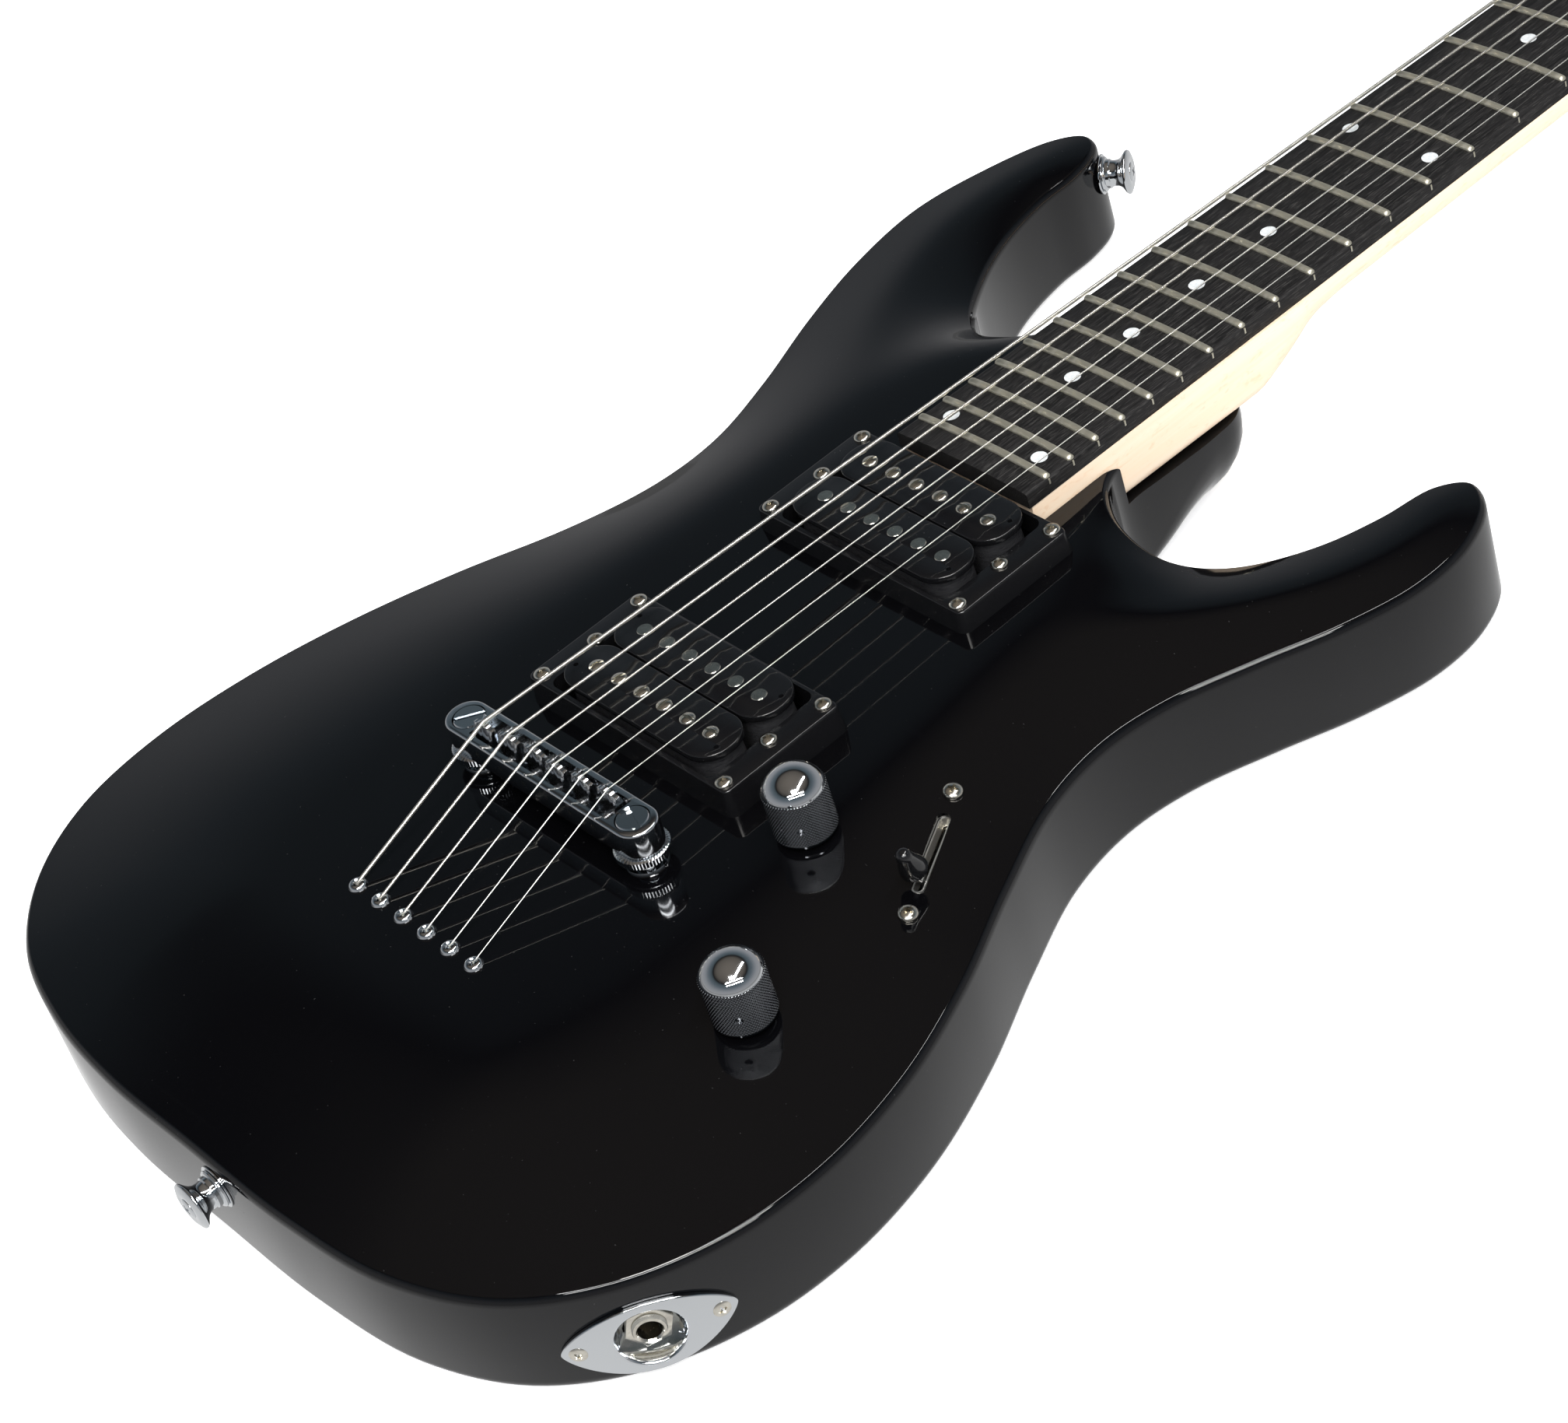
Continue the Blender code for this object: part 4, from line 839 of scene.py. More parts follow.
def make_body():
    mesh = body_shell()
    first = [pocket_cutter()]
    moves = [NECK_FRAME.matrix_world.copy()]
    for y in PICKUP_Y.values():
        cross = [(42.5, -8), (42.5, 8), (35.8, 8), (35.8, 19.6), (-35.8, 19.6), (-35.8, 8),
                 (-42.5, 8), (-42.5, -8), (-35.8, -8), (-35.8, -19.6), (35.8, -19.6), (35.8, -8)]
        first.append(prism("route", [(a * MM, y + b * MM) for a, b in cross], 24 * MM, 60 * MM))
    lid = smooth_closed(CAVITY, 6) * MM
    lid = lid - inward_normals(lid) * 5 * MM
    first.append(prism("lid", lid, -5 * MM, COVER_THICK + GAP))
    for i in range(STRINGS):
        x = (i - 2.5) * FERRULE_SPREAD
        first.append(turned("hole", [mm(0, -5), mm(3.3, -5), mm(3.3, 4),
                                     mm(1.8, 4), mm(1.8, 60), mm(0, 60)], 24))
        moves += [None] * (len(first) - len(moves) - 1) + [Matrix.Translation((x, FERRULE_Y, 0))]
    for x in (-STUD_X, STUD_X):
        first.append(turned("hole", [mm(0, 23.5), mm(4.5, 23.5), mm(4.5, 60), mm(0, 60)], 24))
        moves.append(Matrix.Translation((x, BRIDGE_Y, 0)))
    for x, y in HEEL_SCREWS:
        first.append(turned("hole", [mm(0, -1), mm(6.6, -1), mm(6.6, 3), mm(0, 3)], 32))
        moves.append(Matrix.Translation((x, y, 0)))
    mesh = cut(mesh, together("cutters", first, moves))
    cavity = smooth_closed(CAVITY, 6) * MM
    mesh = cut(mesh, prism("cavity", cavity, -5 * MM, CAVITY_CEILING))
    seat, turn = rim_seat(JACK_NEAR, JACK_Z)
    last = [turned("hole", [mm(0, -45), mm(11.2, -45), mm(11.2, 20), mm(0, 20)], 32)]
    moves = [Matrix.Translation(seat) @ turn.to_4x4()]
    for x, y in KNOBS.values():
        last.append(turned("hole", [mm(0, 30), mm(4.2, 30), mm(4.2, 60), mm(0, 60)], 24))
        moves.append(Matrix.Translation((x, y, 0)))
    last.append(prism("slot", rounded_rectangle(14.2 * MM, 1.9 * MM, 1.85 * MM), 30 * MM, 60 * MM))
    moves.append(Matrix.Translation((*SWITCH_CENTRE, 0)) @ SWITCH_TURN.to_4x4())
    mesh = cut(mesh, together("cutters", last, moves))
    shade_top(mesh)
    mesh.materials.clear()
    shell = add_object("body_shell", mesh, LOOKS["lacquer"])
    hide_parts("body")


def rim_seat(near, height):
    """The nearest place on the rim, and a turn whose Z points out of the side there."""
    loop = smooth_closed(RIM, 16) * MM
    nearest = int(np.argmin(np.linalg.norm(loop - np.array(near), axis=1)))
    out = -Vector((*inward_normals(loop)[nearest], 0))
    up = Vector((0, 0, 1))
    turn = Matrix((up.cross(out), up, out)).transposed()
    return Vector((*loop[nearest], height)), turn


NECK_FRAME = add_empty("neck_frame", None, (0, 0, NECK_Z0),
                       Matrix.Rotation(-math.atan(NECK_DROP), 3, "X"))
SWITCH_TURN = Matrix.Rotation(math.atan2(SWITCH_ALONG[1], SWITCH_ALONG[0]), 3, "Z")
bpy.context.view_layer.update()
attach(NECK_FRAME, GUITAR)


# ---- neck and fingerboard ---------------------------------------------------------------------------
def fret_y(number):
    return SCALE * 2 ** (-number / 12)


def board_half(y):
    return BOARD_HALF_NUT + (BOARD_HALF_24 - BOARD_HALF_NUT) * (SCALE - y) / (SCALE - fret_y(24))


def board_drop(x):
    return BOARD_RADIUS - math.sqrt(BOARD_RADIUS ** 2 - x * x)


def neck_section(y, half, depth, squareness, steps=40):
    top = -BOARD_THICK - 0.02 * MM
    ring = []
    for k in range(steps + 1):
        turn = math.pi * k / steps
        c, s = math.cos(turn), math.sin(turn)
        ring.append((half * math.copysign(abs(c) ** (2 / squareness), c), y,
                     top - depth * abs(s) ** (2 / squareness)))
    return ring


def make_neck():
    heel = -HEEL_BOTTOM - BOARD_THICK - GAP
    stations = np.array([           # y in mm, half width, depth, squareness
        (154, HEEL_HALF, heel, 9), (236, HEEL_HALF, heel, 9), (243, HEEL_HALF, heel, 9),
        (252, HEEL_HALF, heel - 1 * MM, 6), (261, 27 * MM, 18.6 * MM, 4),
        (273, board_half(273 * MM), 16.4 * MM, 2.7), (300, board_half(300 * MM), 15.8 * MM, 2.35),
        (470, board_half(470 * MM), 15 * MM, 2.25), (620, board_half(620 * MM), 14 * MM, 2.25),
        (640, board_half(640 * MM), 14.4 * MM, 2.4), (652.5, 21 * MM, 15.5 * MM, 2.8)])
    rows = list(range(154, 243, 12)) + list(range(243, 300, 3)) + list(range(300, 652, 20)) + [652.5]
    smooth = []
    for y in rows:
        k = int(np.clip(np.searchsorted(stations[:, 0], y) - 1, 0, len(stations) - 2))
        t = float(np.clip((y - stations[k, 0]) / (stations[k + 1, 0] - stations[k, 0]), 0, 1))
        before = stations[max(k - 1, 0)]
        after = stations[min(k + 2, len(stations) - 1)]
        gap = stations[k + 1, 0] - stations[k, 0]
        lead = (stations[k + 1] - before) / (stations[k + 1, 0] - before[0] + 1e-9) * gap
        tail = (after - stations[k]) / (after[0] - stations[k, 0] + 1e-9) * gap
        if y < 252:
            lead = lead * 0
        a, b = 2 * t ** 3 - 3 * t ** 2 + 1, t ** 3 - 2 * t ** 2 + t
        value = a * stations[k] + b * lead + (1 - a) * stations[k + 1] + (t ** 3 - t ** 2) * tail
        smooth.append(neck_section(y * MM, value[1], value[2], max(value[3], 2.1)))
    mesh = loft("neck_wood", smooth)
    outline = smooth_closed(HEAD_OUTLINE, 8) * MM
    head = soft_prism("head", outline, HEAD_FACE - HEAD_THICK, HEAD_FACE, 1.6 * MM, 1.2 * MM)
    mesh = cut(mesh, head, "UNION")
    holes, moves = [], []
    for i in range(STRINGS):
        holes.append(turned("hole", [mm(0, -40), mm(4.6, -40), mm(4.6, 10), mm(0, 10)], 24))
        moves.append(Matrix.Translation((*post_place(i), 0)))
    mesh = cut(mesh, together("holes", holes, moves))
    neck = add_object("neck_wood", mesh, None, NECK_FRAME)
    recoat(mesh, "maple")
    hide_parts("neck")


def board_ring(y, steps=28):
    """A section of the fingerboard with a rolled upper edge."""
    half, roll = board_half(y), 1.1 * MM
    xs = [half - roll - (2 * half - 2 * roll) * k / steps for k in range(steps + 1)]
    top = [(x, y, -board_drop(x)) for x in xs]
    edge = -board_drop(half - roll)
    right = [(half - roll + roll * math.cos(a), y, edge - roll + roll * math.sin(a))
             for a in (math.pi / 2 * k / 5 for k in range(5))]
    left = [(-x, y, z) for x, y, z in reversed(right)]
    return right + top + left + [(-half, y, -BOARD_THICK), (half, y, -BOARD_THICK)]


def make_fingerboard():
    rows = [BOARD_START_Y, BOARD_START_Y + 0.5 * MM] + [BOARD_START_Y + (SCALE - BOARD_START_Y) * k / 24
                                                       for k in range(1, 24)] + [SCALE - 0.05 * MM]
    board = add_object("fingerboard", loft("fingerboard", [board_ring(y) for y in rows]),
                       LOOKS["dark_wood"], NECK_FRAME)
    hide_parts("fretboard")
    marks = [(3, 1), (5, 1), (7, 1), (9, 1), (12, 2), (15, 1), (17, 1), (19, 1), (21, 1), (24, 2)]
    dot = turned("dot", [mm(0, -0.3), mm(2.5, -0.3), mm(2.5, 0.05), mm(0, 0.07)], 40)
    side = turned("side_dot", [mm(0, -0.3), mm(1, -0.3), mm(1, 0.05), mm(0, 0.06)], 24)
    for number, count in marks:
        y = (fret_y(number) + fret_y(number - 1)) / 2
        if count == 1:
            across = [0.0]
        else:
            spread = 16.2 * MM if number == 12 else 18.6 * MM
            across = [-spread, spread]
        for k, x in enumerate(across):
            tilt = Matrix.Rotation(math.asin(x / BOARD_RADIUS), 3, "Y")
            made = add_object("inlay_%d_%d" % (number, k + 1), dot, LOOKS["pearl"], NECK_FRAME,
                              (x, y, -board_drop(x)), tilt)
            shift = (k - (count - 1) / 2) * 5 * MM
            out = Matrix.Rotation(-math.pi / 2, 3, "Y")
            add_object("side_mark_%d_%d" % (number, k + 1), side, LOOKS["pearl"], NECK_FRAME,
                       (-board_half(y + shift), y + shift, -3.4 * MM), out)


def make_frets():
    """Each fret has a round crown with a dressed, rounded end, and its tang in the board's side."""
    first = None
    for number in range(1, FRETS + 1):
        y, half = fret_y(number), board_half(fret_y(number)) - 0.35 * MM
        steps, sides = 26, 10
        rings = []
        for k in range(steps + 1):
            share = -1 + 2 * k / steps
            x = half * (math.copysign(1 - (1 - abs(share)) ** 1.6, share))
            near = min(1.0, (half - abs(x)) / (0.9 * MM))
            full = math.sqrt(max(0.0, 1 - (1 - near) ** 2))
            width, height = 1.25 * MM * (0.45 + 0.55 * full), 1.1 * MM * (0.12 + 0.88 * full)
            drop = board_drop(x)
            ring = [(x, y + width * math.cos(math.pi * n / sides),
                     -drop - 0.02 * MM + height * math.sin(math.pi * n / sides) ** 0.75)
                    for n in range(sides + 1)]
            rings.append(ring)
        made = add_object("fret_%d" % number, loft("fret", rings, 60), LOOKS["fret_wire"], NECK_FRAME)
        if first is None:
            first = made
            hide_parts("fret_set")
        for side in (-1, 1):
            edge = side * (board_half(y) + 0.02 * MM)
            tang = box("fret_tang", (min(edge - side * 0.4 * MM, edge), y - 0.28 * MM, -3.1 * MM),
                       (max(edge - side * 0.4 * MM, edge), y + 0.28 * MM, -1.3 * MM))
            made = add_object("fret_tang_%d_%s" % (number, "treble" if side > 0 else "bass"), tang,
                              LOOKS["fret_wire"], NECK_FRAME)


def make_nut():
    half = 20.9 * MM
    outline = [(SCALE, -BOARD_THICK), (SCALE + NUT_THICK, -BOARD_THICK),
               (SCALE + NUT_THICK, 0.2 * MM)] + arc((SCALE + 2.4 * MM, -0.3 * MM), 2.1 * MM, 25, 90, 6)
    outline += [(SCALE, 1.5 * MM)]
    steps = 96
    rings = []
    for k in range(steps + 1):
        x = -half + 2 * half * k / steps
        slot = 0.0
        for i in range(STRINGS):
            away = abs(x - (i - 2.5) * NUT_SPREAD)
            radius = STRING_RADII[i] * MM + 0.12 * MM
            if away < radius:
                slot = 0.6 * MM
        rings.append([(x, y, z - (slot if z > 0.2 * MM else 0) - board_drop(x) * 0.8)
                      for y, z in outline])
    made = add_object("nut_block", loft("nut_block", rings), LOOKS["bone"], NECK_FRAME)
    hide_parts("nut")


# ---- screws -----------------------------------------------------------------------------------------
def cross_recess(top, size, depth):
    """A cutter for a cross-head recess: two tapered blades."""
    blades = []
    for turn in (0, 90):
        low = [(-size * 0.45, -size * 0.13), (size * 0.45, -size * 0.13),
               (size * 0.45, size * 0.13), (-size * 0.45, size * 0.13)]
        high = [(-size, -size * 0.24), (size, -size * 0.24), (size, size * 0.24), (-size, size * 0.24)]
        blade = loft("blade", [[(x, y, top - depth) for x, y in low],
                               [(x, y, top + 0.5 * MM) for x, y in high]])
        blade.transform(Matrix.Rotation(math.radians(turn), 4, "Z"))
        blades.append(blade)
    return blades


def dome_screw(name, radius, height, slotted=False, shank=3 * MM):
    """A round-headed screw; the head's underside is at Z = 0."""
    profile = [(0, -shank), (radius * 0.45, -shank), (radius * 0.45, 0), (radius * 0.96, 0),
               (radius, 0.15 * height)]
    profile += [(radius * math.cos(a), height * (0.25 + 0.75 * math.sin(a)))
                for a in (math.pi / 2 * k / 7 for k in range(1, 7))]
    profile.append((0, height))
    mesh = turned(name, profile, 40)
    if slotted:
        groove = box("groove", (-2 * radius, -0.17 * radius, height * 0.3),
                     (2 * radius, 0.17 * radius, height * 2))
        return cut(mesh, groove)
    for blade in cross_recess(height, radius * 0.64, height * 0.85):
        mesh = cut(mesh, blade)
    return mesh


def place_screw(name, mesh, look, parent, location, rotation, body=GUITAR, seed=0):
    spin = Matrix.Rotation(math.radians(37 * seed % 90), 3, "Z")
    turn = (rotation if rotation is not None else Matrix.Identity(3)) @ spin
    made = add_object(name, mesh, look, parent, location, turn, body)
    return made


HEIGHT_SCREW_END = 24.6 * MM     # the screws pass right through the base at every height
HEIGHT_SCREW_X = 38 * MM
PICKUP_BOTTOM = 27 * MM
PICKUP_BASE = mm(34.4, 18.4)
PICKUP_EAR = mm(41.5, 6)
BOBBIN_SHIFT = 9.4 * MM          # from the pickup's middle to the middle of a coil


# ---- pickups ----------------------------------------------------------------------------------------
def make_pickups():
    ring_screw = dome_screw("ring_screw", 2.6 * MM, 1.6 * MM)
    slug = turned("slug", [mm(0, -4), mm(2.35, -4), mm(2.35, 0.1), mm(2.2, 0.3), mm(0, 0.3)], 40)
    pole = dome_screw("pole_screw", 2.4 * MM, 1.1 * MM, True, 6 * MM)
    for name, y in PICKUP_Y.items():
        body = name + "_pickup"
        top, low = PICKUP_TOP[name], PICKUP_BOTTOM
        (wide, deep), (ear, reach) = PICKUP_BASE, PICKUP_EAR
        stand = add_empty(body + "_stand", None, (0, y, 0))
        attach(stand, body)
        base = box(body + "_base", (-wide, -deep, low), (wide, deep, low + 2 * MM))
        ears = box("ears", (-ear, -reach, low), (ear, reach, low + 2 * MM))
        plate = add_object(body + "_base", cut(base, ears, "UNION"), LOOKS["steel"], stand, body=body)
        recoat(plate.data, "steel")
        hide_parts(body)
        screws_near_neck = name == "neck"
        for side in (-1, 1):
            row_is_screws = (side > 0) == screws_near_neck
            shift = side * BOBBIN_SHIFT
            outline = rounded_rectangle(34.2 * MM, 9.1 * MM, 8.6 * MM, 12, (0, shift))
            inner = rounded_rectangle(33.1 * MM, 8.0 * MM, 7.5 * MM, 12, (0, shift))
            upper = soft_prism("bobbin", outline, top - 2.2 * MM, top, 0.25 * MM, 0.45 * MM)
            holes = []
            for x in mm(-31.0, 31.0):
                holes.append(turned("hole", [(0, top - 1.4 * MM), (0.75 * MM, top - 1.4 * MM),
                                             (0.75 * MM, top + 1 * MM), (0, top + 1 * MM)], 16))
                holes[-1].transform(Matrix.Translation((x, shift + 2.6 * MM * side, 0)))
            upper = cut(upper, together("holes", holes))
            upper.materials.clear()
            row = "screw" if row_is_screws else "slug"
            made = add_object("%s_%s_bobbin" % (body, row), upper, LOOKS["gloss_black"], stand,
                              body=body)
            made = add_object("%s_%s_flange" % (body, row),
                              soft_prism("flange", outline, low + 2 * MM, low + 4 * MM, 0.2 * MM,
                                         0.3 * MM), LOOKS["gloss_black"], stand, body=body)
            made = add_object("%s_%s_coil" % (body, row), coil(inner, low + 4 * MM, top - 2.2 * MM),
                              LOOKS["tape"], stand, body=body)
            for k in range(STRINGS):
                x = (k - 2.5) * POLE_SPREAD
                at = (x, side * 8.94 * MM, top - (0.15 * MM if row_is_screws else 0.12 * MM))
                place_screw("%s_%s_pole_%d" % (body, row, k + 1), pole if row_is_screws else slug,
                            LOOKS["nickel"], stand, at, None, body,
                            (k * 5 + 2 if row_is_screws else 0))
        height_screw = dome_screw("height_screw", 2.6 * MM, 1.7 * MM, False,
                                  RING_TOP[name] - 0.1 * MM - HEIGHT_SCREW_END)
        for side in (-1, 1):
            x = side * HEIGHT_SCREW_X
            place_screw("%s_height_screw_%s" % (body, "treble" if side > 0 else "bass"), height_screw,
                        LOOKS["nickel"], None, (x, y, RING_TOP[name] - 0.1 * MM), None, GUITAR,
                        3 + side)
        make_ring(name, y, ring_screw)


def coil(outline, low, high):
    """The taped winding: slightly bulged, with a few uneven wraps."""
    draw = random.Random(11)
    curve = np.array(outline)
    inwards = inward_normals(curve)
    rings = []
    steps = 14
    for k in range(steps + 1):
        share = k / steps
        inset = 0.55 * MM * (1 - math.sin(math.pi * share)) + draw.uniform(-0.09, 0.09) * MM
        z = low + (high - low) * share
        rings.append([(x, y, z) for x, y in curve + inwards * inset])
    return loft("coil", rings, 50)


def make_ring(name, y, screw):
    """A tapered mounting ring that stands on the top, with a screw at each corner."""
    wide, deep = 45 * MM, 22 * MM
    top = RING_TOP[name]
    low = TOP_Z - 0.4 * MM
    levels = [(0, low), (0.9 * MM, top - 0.6 * MM)]
    levels += [(0.9 * MM + 0.6 * MM * (1 - math.cos(a)), top - 0.6 * MM * (1 - math.sin(a)))
               for a in (math.pi / 2 * k / 4 for k in range(1, 5))]
    rings = [[(a, b, z) for a, b in rounded_rectangle(wide - inset, deep - inset, 3.2 * MM - inset, 8)]
             for inset, z in levels]
    shell = loft(name + "_ring_shell", rings)
    hole = soft_prism("opening", rounded_rectangle(35.7 * MM, 19.6 * MM, 3.2 * MM, 8), 30 * MM, 70 * MM)
    shell = cut(shell, hole)
    made = add_object(name + "_ring_shell", shell, None, None, (0, y, 0))
    recoat(shell, "ring_black")
    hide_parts(name + "_pickup_ring")
    for sx in (-1, 1):
        for sy in (-1, 1):
            place_screw("%s_ring_screw_%s_%s" % (name, "treble" if sx > 0 else "bass",
                                                 "neck" if sy > 0 else "tail"),
                        screw, LOOKS["nickel"], None,
                        (sx * 40.27 * MM, y + sy * 18.28 * MM, top - 0.1 * MM), None, GUITAR,
                        2 * sx + sy + 5)


# ---- bridge and strings -------------------------------------------------------------------------------
BRIDGE_HALF = mm(44, 6.5)
BRIDGE_Z = mm(52, 60.8)
CHANNEL_HALF = mm(31, 4.3)
CHANNEL_FLOOR = 54 * MM
SADDLE_HALF = mm(4.2, 2)
SADDLE_BOTTOM = 54.4 * MM


def make_bridge():
    stand = add_empty("bridge_stand", None, (0, BRIDGE_Y, 0))
    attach(stand, "bridge")
    outline = rounded_rectangle(*BRIDGE_HALF, 6.4 * MM, 12)
    bar = soft_prism("bridge_bar", outline, *BRIDGE_Z, 0.7 * MM, 0.9 * MM)
    long, deep = CHANNEL_HALF
    cutters = [box("channel", (-long, -deep, CHANNEL_FLOOR), (long, deep, 70 * MM))]
    moves = [None]
    for x in (-STUD_X, STUD_X):
        well = [mm(0, 50), mm(4.5, 50), mm(4.5, 58), mm(5, 58.4), mm(5, 65), mm(0, 65)]
        cutters.append(turned("well", well, 48))
        moves.append(Matrix.Translation((x, 0, 0)))
    through = turned("hole", [mm(0, -9), mm(0.75, -9), mm(0.75, -3), mm(0, -3)], 20)
    for k in range(STRINGS):
        cutters.append(through)
        moves.append(Matrix.Translation(((k - 2.5) * BRIDGE_SPREAD, 0, 57 * MM))
                     @ Matrix.Rotation(math.radians(-90), 4, "X"))
    bar = cut(bar, together("cutters", cutters, moves))
    recoat(bar, "worn_chrome")
    made = add_object("bridge_bar", bar, None, stand, body="bridge")
    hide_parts("bridge_frame")
    head = dome_screw("intonation_head", 1.9 * MM, 1.3 * MM, True, 13 * MM)
    thread = turned("thread", [mm(0, -12.5)] + [
        (1.15 * MM + 0.14 * MM * math.cos(math.pi * k), (-12.5 + 0.25 * k) * MM) for k in range(50)]
        + [(0, 0)], 16)
    towards_neck = Matrix.Rotation(math.radians(-90), 3, "X")
    for k in range(STRINGS):
        x = (k - 2.5) * BRIDGE_SPREAD
        place_screw("saddle_screw_%d" % (k + 1), head, LOOKS["nickel"], stand, (x, 6.5 * MM, 57 * MM),
                    towards_neck, "bridge", k * 3)
        made = add_object("saddle_thread_%d" % (k + 1), thread, LOOKS["steel"], stand,
                          (x, 6.4 * MM, 57 * MM), towards_neck, "bridge")
        make_saddle(k, x)
    for side, x in (("bass", -STUD_X), ("treble", STUD_X)):
        make_stud(side, x)


def make_saddle(k, x):
    """A saddle: a block with a sloped roof whose ridge has a V for the string."""
    (half, side), low = SADDLE_HALF, SADDLE_BOTTOM
    rings = []
    steps = 28
    for n in range(steps + 1):
        a = -half + 2 * half * n / steps
        edge = max(0.0, abs(a) - (half - 0.5 * MM))
        notch = 0.55 * MM * max(0.0, 1 - abs(a) / (0.7 * MM))
        flank = 0.7 * MM if abs(a) > 2.6 * MM else 0.7 * MM * max(0.0, abs(a) - 1.6 * MM) / MM
        ridge = SADDLE_TOP + 0.25 * MM - notch - flank - edge * 0.6
        wide = side - edge * 0.5
        rings.append([(a, -wide, low), (a, wide, low), (a, wide, 60.9 * MM - edge),
                      (a, 0.6 * MM, ridge), (a, -0.7 * MM, ridge),
                      (a, -wide, 61.3 * MM - edge)])
    made = add_object("saddle_block_%d" % (k + 1), loft("saddle", rings, 28), LOOKS["worn_chrome"], None,
                      (x, -SADDLE_BACKSET[k] * MM, 0), None, "saddle_%d" % (k + 1))
    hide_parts("saddle_%d" % (k + 1))


def make_stud(side, x):
    """A bridge post: slotted head, neck, and a knurled wheel that carries the bridge."""
    def knurl(turn, height):
        if 49.1 * MM < height < 51.6 * MM:
            return 0.22 * MM * (abs(math.sin(24 * turn)) - 0.5)
        return 0.0

    rows = [mm(0, 46.2), mm(4.1, 46.2), mm(4.1, 48.25)]
    rows += [mm(6.9, 48.25), mm(7.2, 48.35), mm(7.2, 48.75), mm(6.6, 48.9)]
    rows += [mm(7.4, 49), mm(7.9, 49.2), mm(7.9, 51.2), mm(7.4, 51.55)]
    rows += [mm(4.1, 51.7), mm(4.1, 58.7), mm(4.75, 58.9)]
    rows += [mm(4.75, 60.7), mm(4.45, 61.05), mm(0, 61.05)]
    mesh = turned("stud", rows, 144, knurl)
    slot = box("slot", mm(-7, -0.75, 59.6), mm(7, 0.75, 63))
    slot.transform(Matrix.Rotation(math.radians(55 if side == "bass" else -20), 4, "Z"))
    mesh = cut(mesh, slot)
    recoat(mesh, "chrome")
    made = add_object("bridge_post_" + side, mesh, None, None, (x, BRIDGE_Y, 0), None, "stud_" + side)
    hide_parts("bridge_stud_" + side)
    rows = [mm(0, 27)] + [(3.85 * MM + 0.18 * MM * math.cos(math.pi * k), (27 + 0.5 * k) * MM)
                             for k in range(39)] + [mm(0, 46.3)]
    made = add_object("bridge_post_thread_" + side, turned("thread", rows, 32), LOOKS["steel"], None,
                      (x, BRIDGE_Y, 0), None, "stud_" + side)
    rows = [mm(4.15, 24), mm(6.2, 24), mm(6.2, 45.2), mm(6, 45.9), mm(4.6, 46), mm(4.15, 45.6)]
    rings = around(rows, 48)
    made = add_object("bridge_bushing_" + side, loft("bushing", rings, closed=True), LOOKS["chrome"], None,
                      (x, BRIDGE_Y, 0))


def post_place(i):
    return POST_FIRST[0] + i * POST_STEP[0], POST_FIRST[1] + i * POST_STEP[1]


def along_line(points, spacing):
    """Points every so often along straight runs, corners kept."""
    route = []
    for a, b in zip(points, points[1:]):
        count = max(1, int((b - a).length / spacing))
        route += [a.lerp(b, k / count) for k in range(count)]
    return route + [points[-1]]


def make_strings():
    to_world = NECK_FRAME.matrix_world
    for i in range(STRINGS):
        radius = STRING_RADII[i] * MM
        x0, x1, x2 = (i - 2.5) * FERRULE_SPREAD, (i - 2.5) * BRIDGE_SPREAD, (i - 2.5) * NUT_SPREAD
        post_x, post_y = post_place(i)
        saddle = Vector((x1, -SADDLE_BACKSET[i] * MM, SADDLE_TOP + GAP + radius - 0.35 * MM))
        lift = radius + GAP
        past = SCALE + NUT_THICK
        nut = to_world @ Vector((x2, SCALE + 1 * MM, 1.05 * MM + lift))
        nut_back = to_world @ Vector((x2, past, 0.9 * MM + lift))
        post = to_world @ Vector((post_x + 2.5 * MM + radius, post_y, 0.9 * MM))
        look = LOOKS["wound"] if i < 3 else LOOKS["plain_wire"]
        top = Vector((x0, FERRULE_Y, TOP_Z + 0.9 * MM))
        bend = [Vector((x0, FERRULE_Y, 6 * MM)), Vector((x0, FERRULE_Y, TOP_Z - 1 * MM)), top,
                top.lerp(saddle, 0.04)]
        tail = along_line(bend[:2], 10 * MM) + bend[2:] + along_line([top.lerp(saddle, 0.06),
                                                                      saddle], 4 * MM)
        made = add_object("string_%d_tail" % (i + 1), tube("tail", tail, radius, 12), look, body=None)
        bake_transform(made)
        main = along_line([saddle - Vector(mm(0, 0.2, 0)), nut], 12 * MM) + [nut_back]
        main += along_line([nut_back.lerp(post, 0.02), post], 10 * MM)
        made = add_object("string_%d_main" % (i + 1), tube("main", main, radius, 12), look, body=None)
        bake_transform(made)
        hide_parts("string_%d" % (i + 1))
        turns, steps = 3.25, 24
        wrap = [Vector(((2.45 * MM + radius) * math.cos(a), -(2.45 * MM + radius) * math.sin(a),
                        24.6 * MM - 2.1 * radius * a / (2 * math.pi)))
                for a in (2 * math.pi * turns * k / (steps * turns) for k in range(int(steps * turns)))]
        tuner = TUNER_FRAMES[i]
        wound = add_object("string_%d_wrap" % (i + 1), tube("wrap", wrap, radius, 8), look, tuner,
                           body="post_%d" % (i + 1))


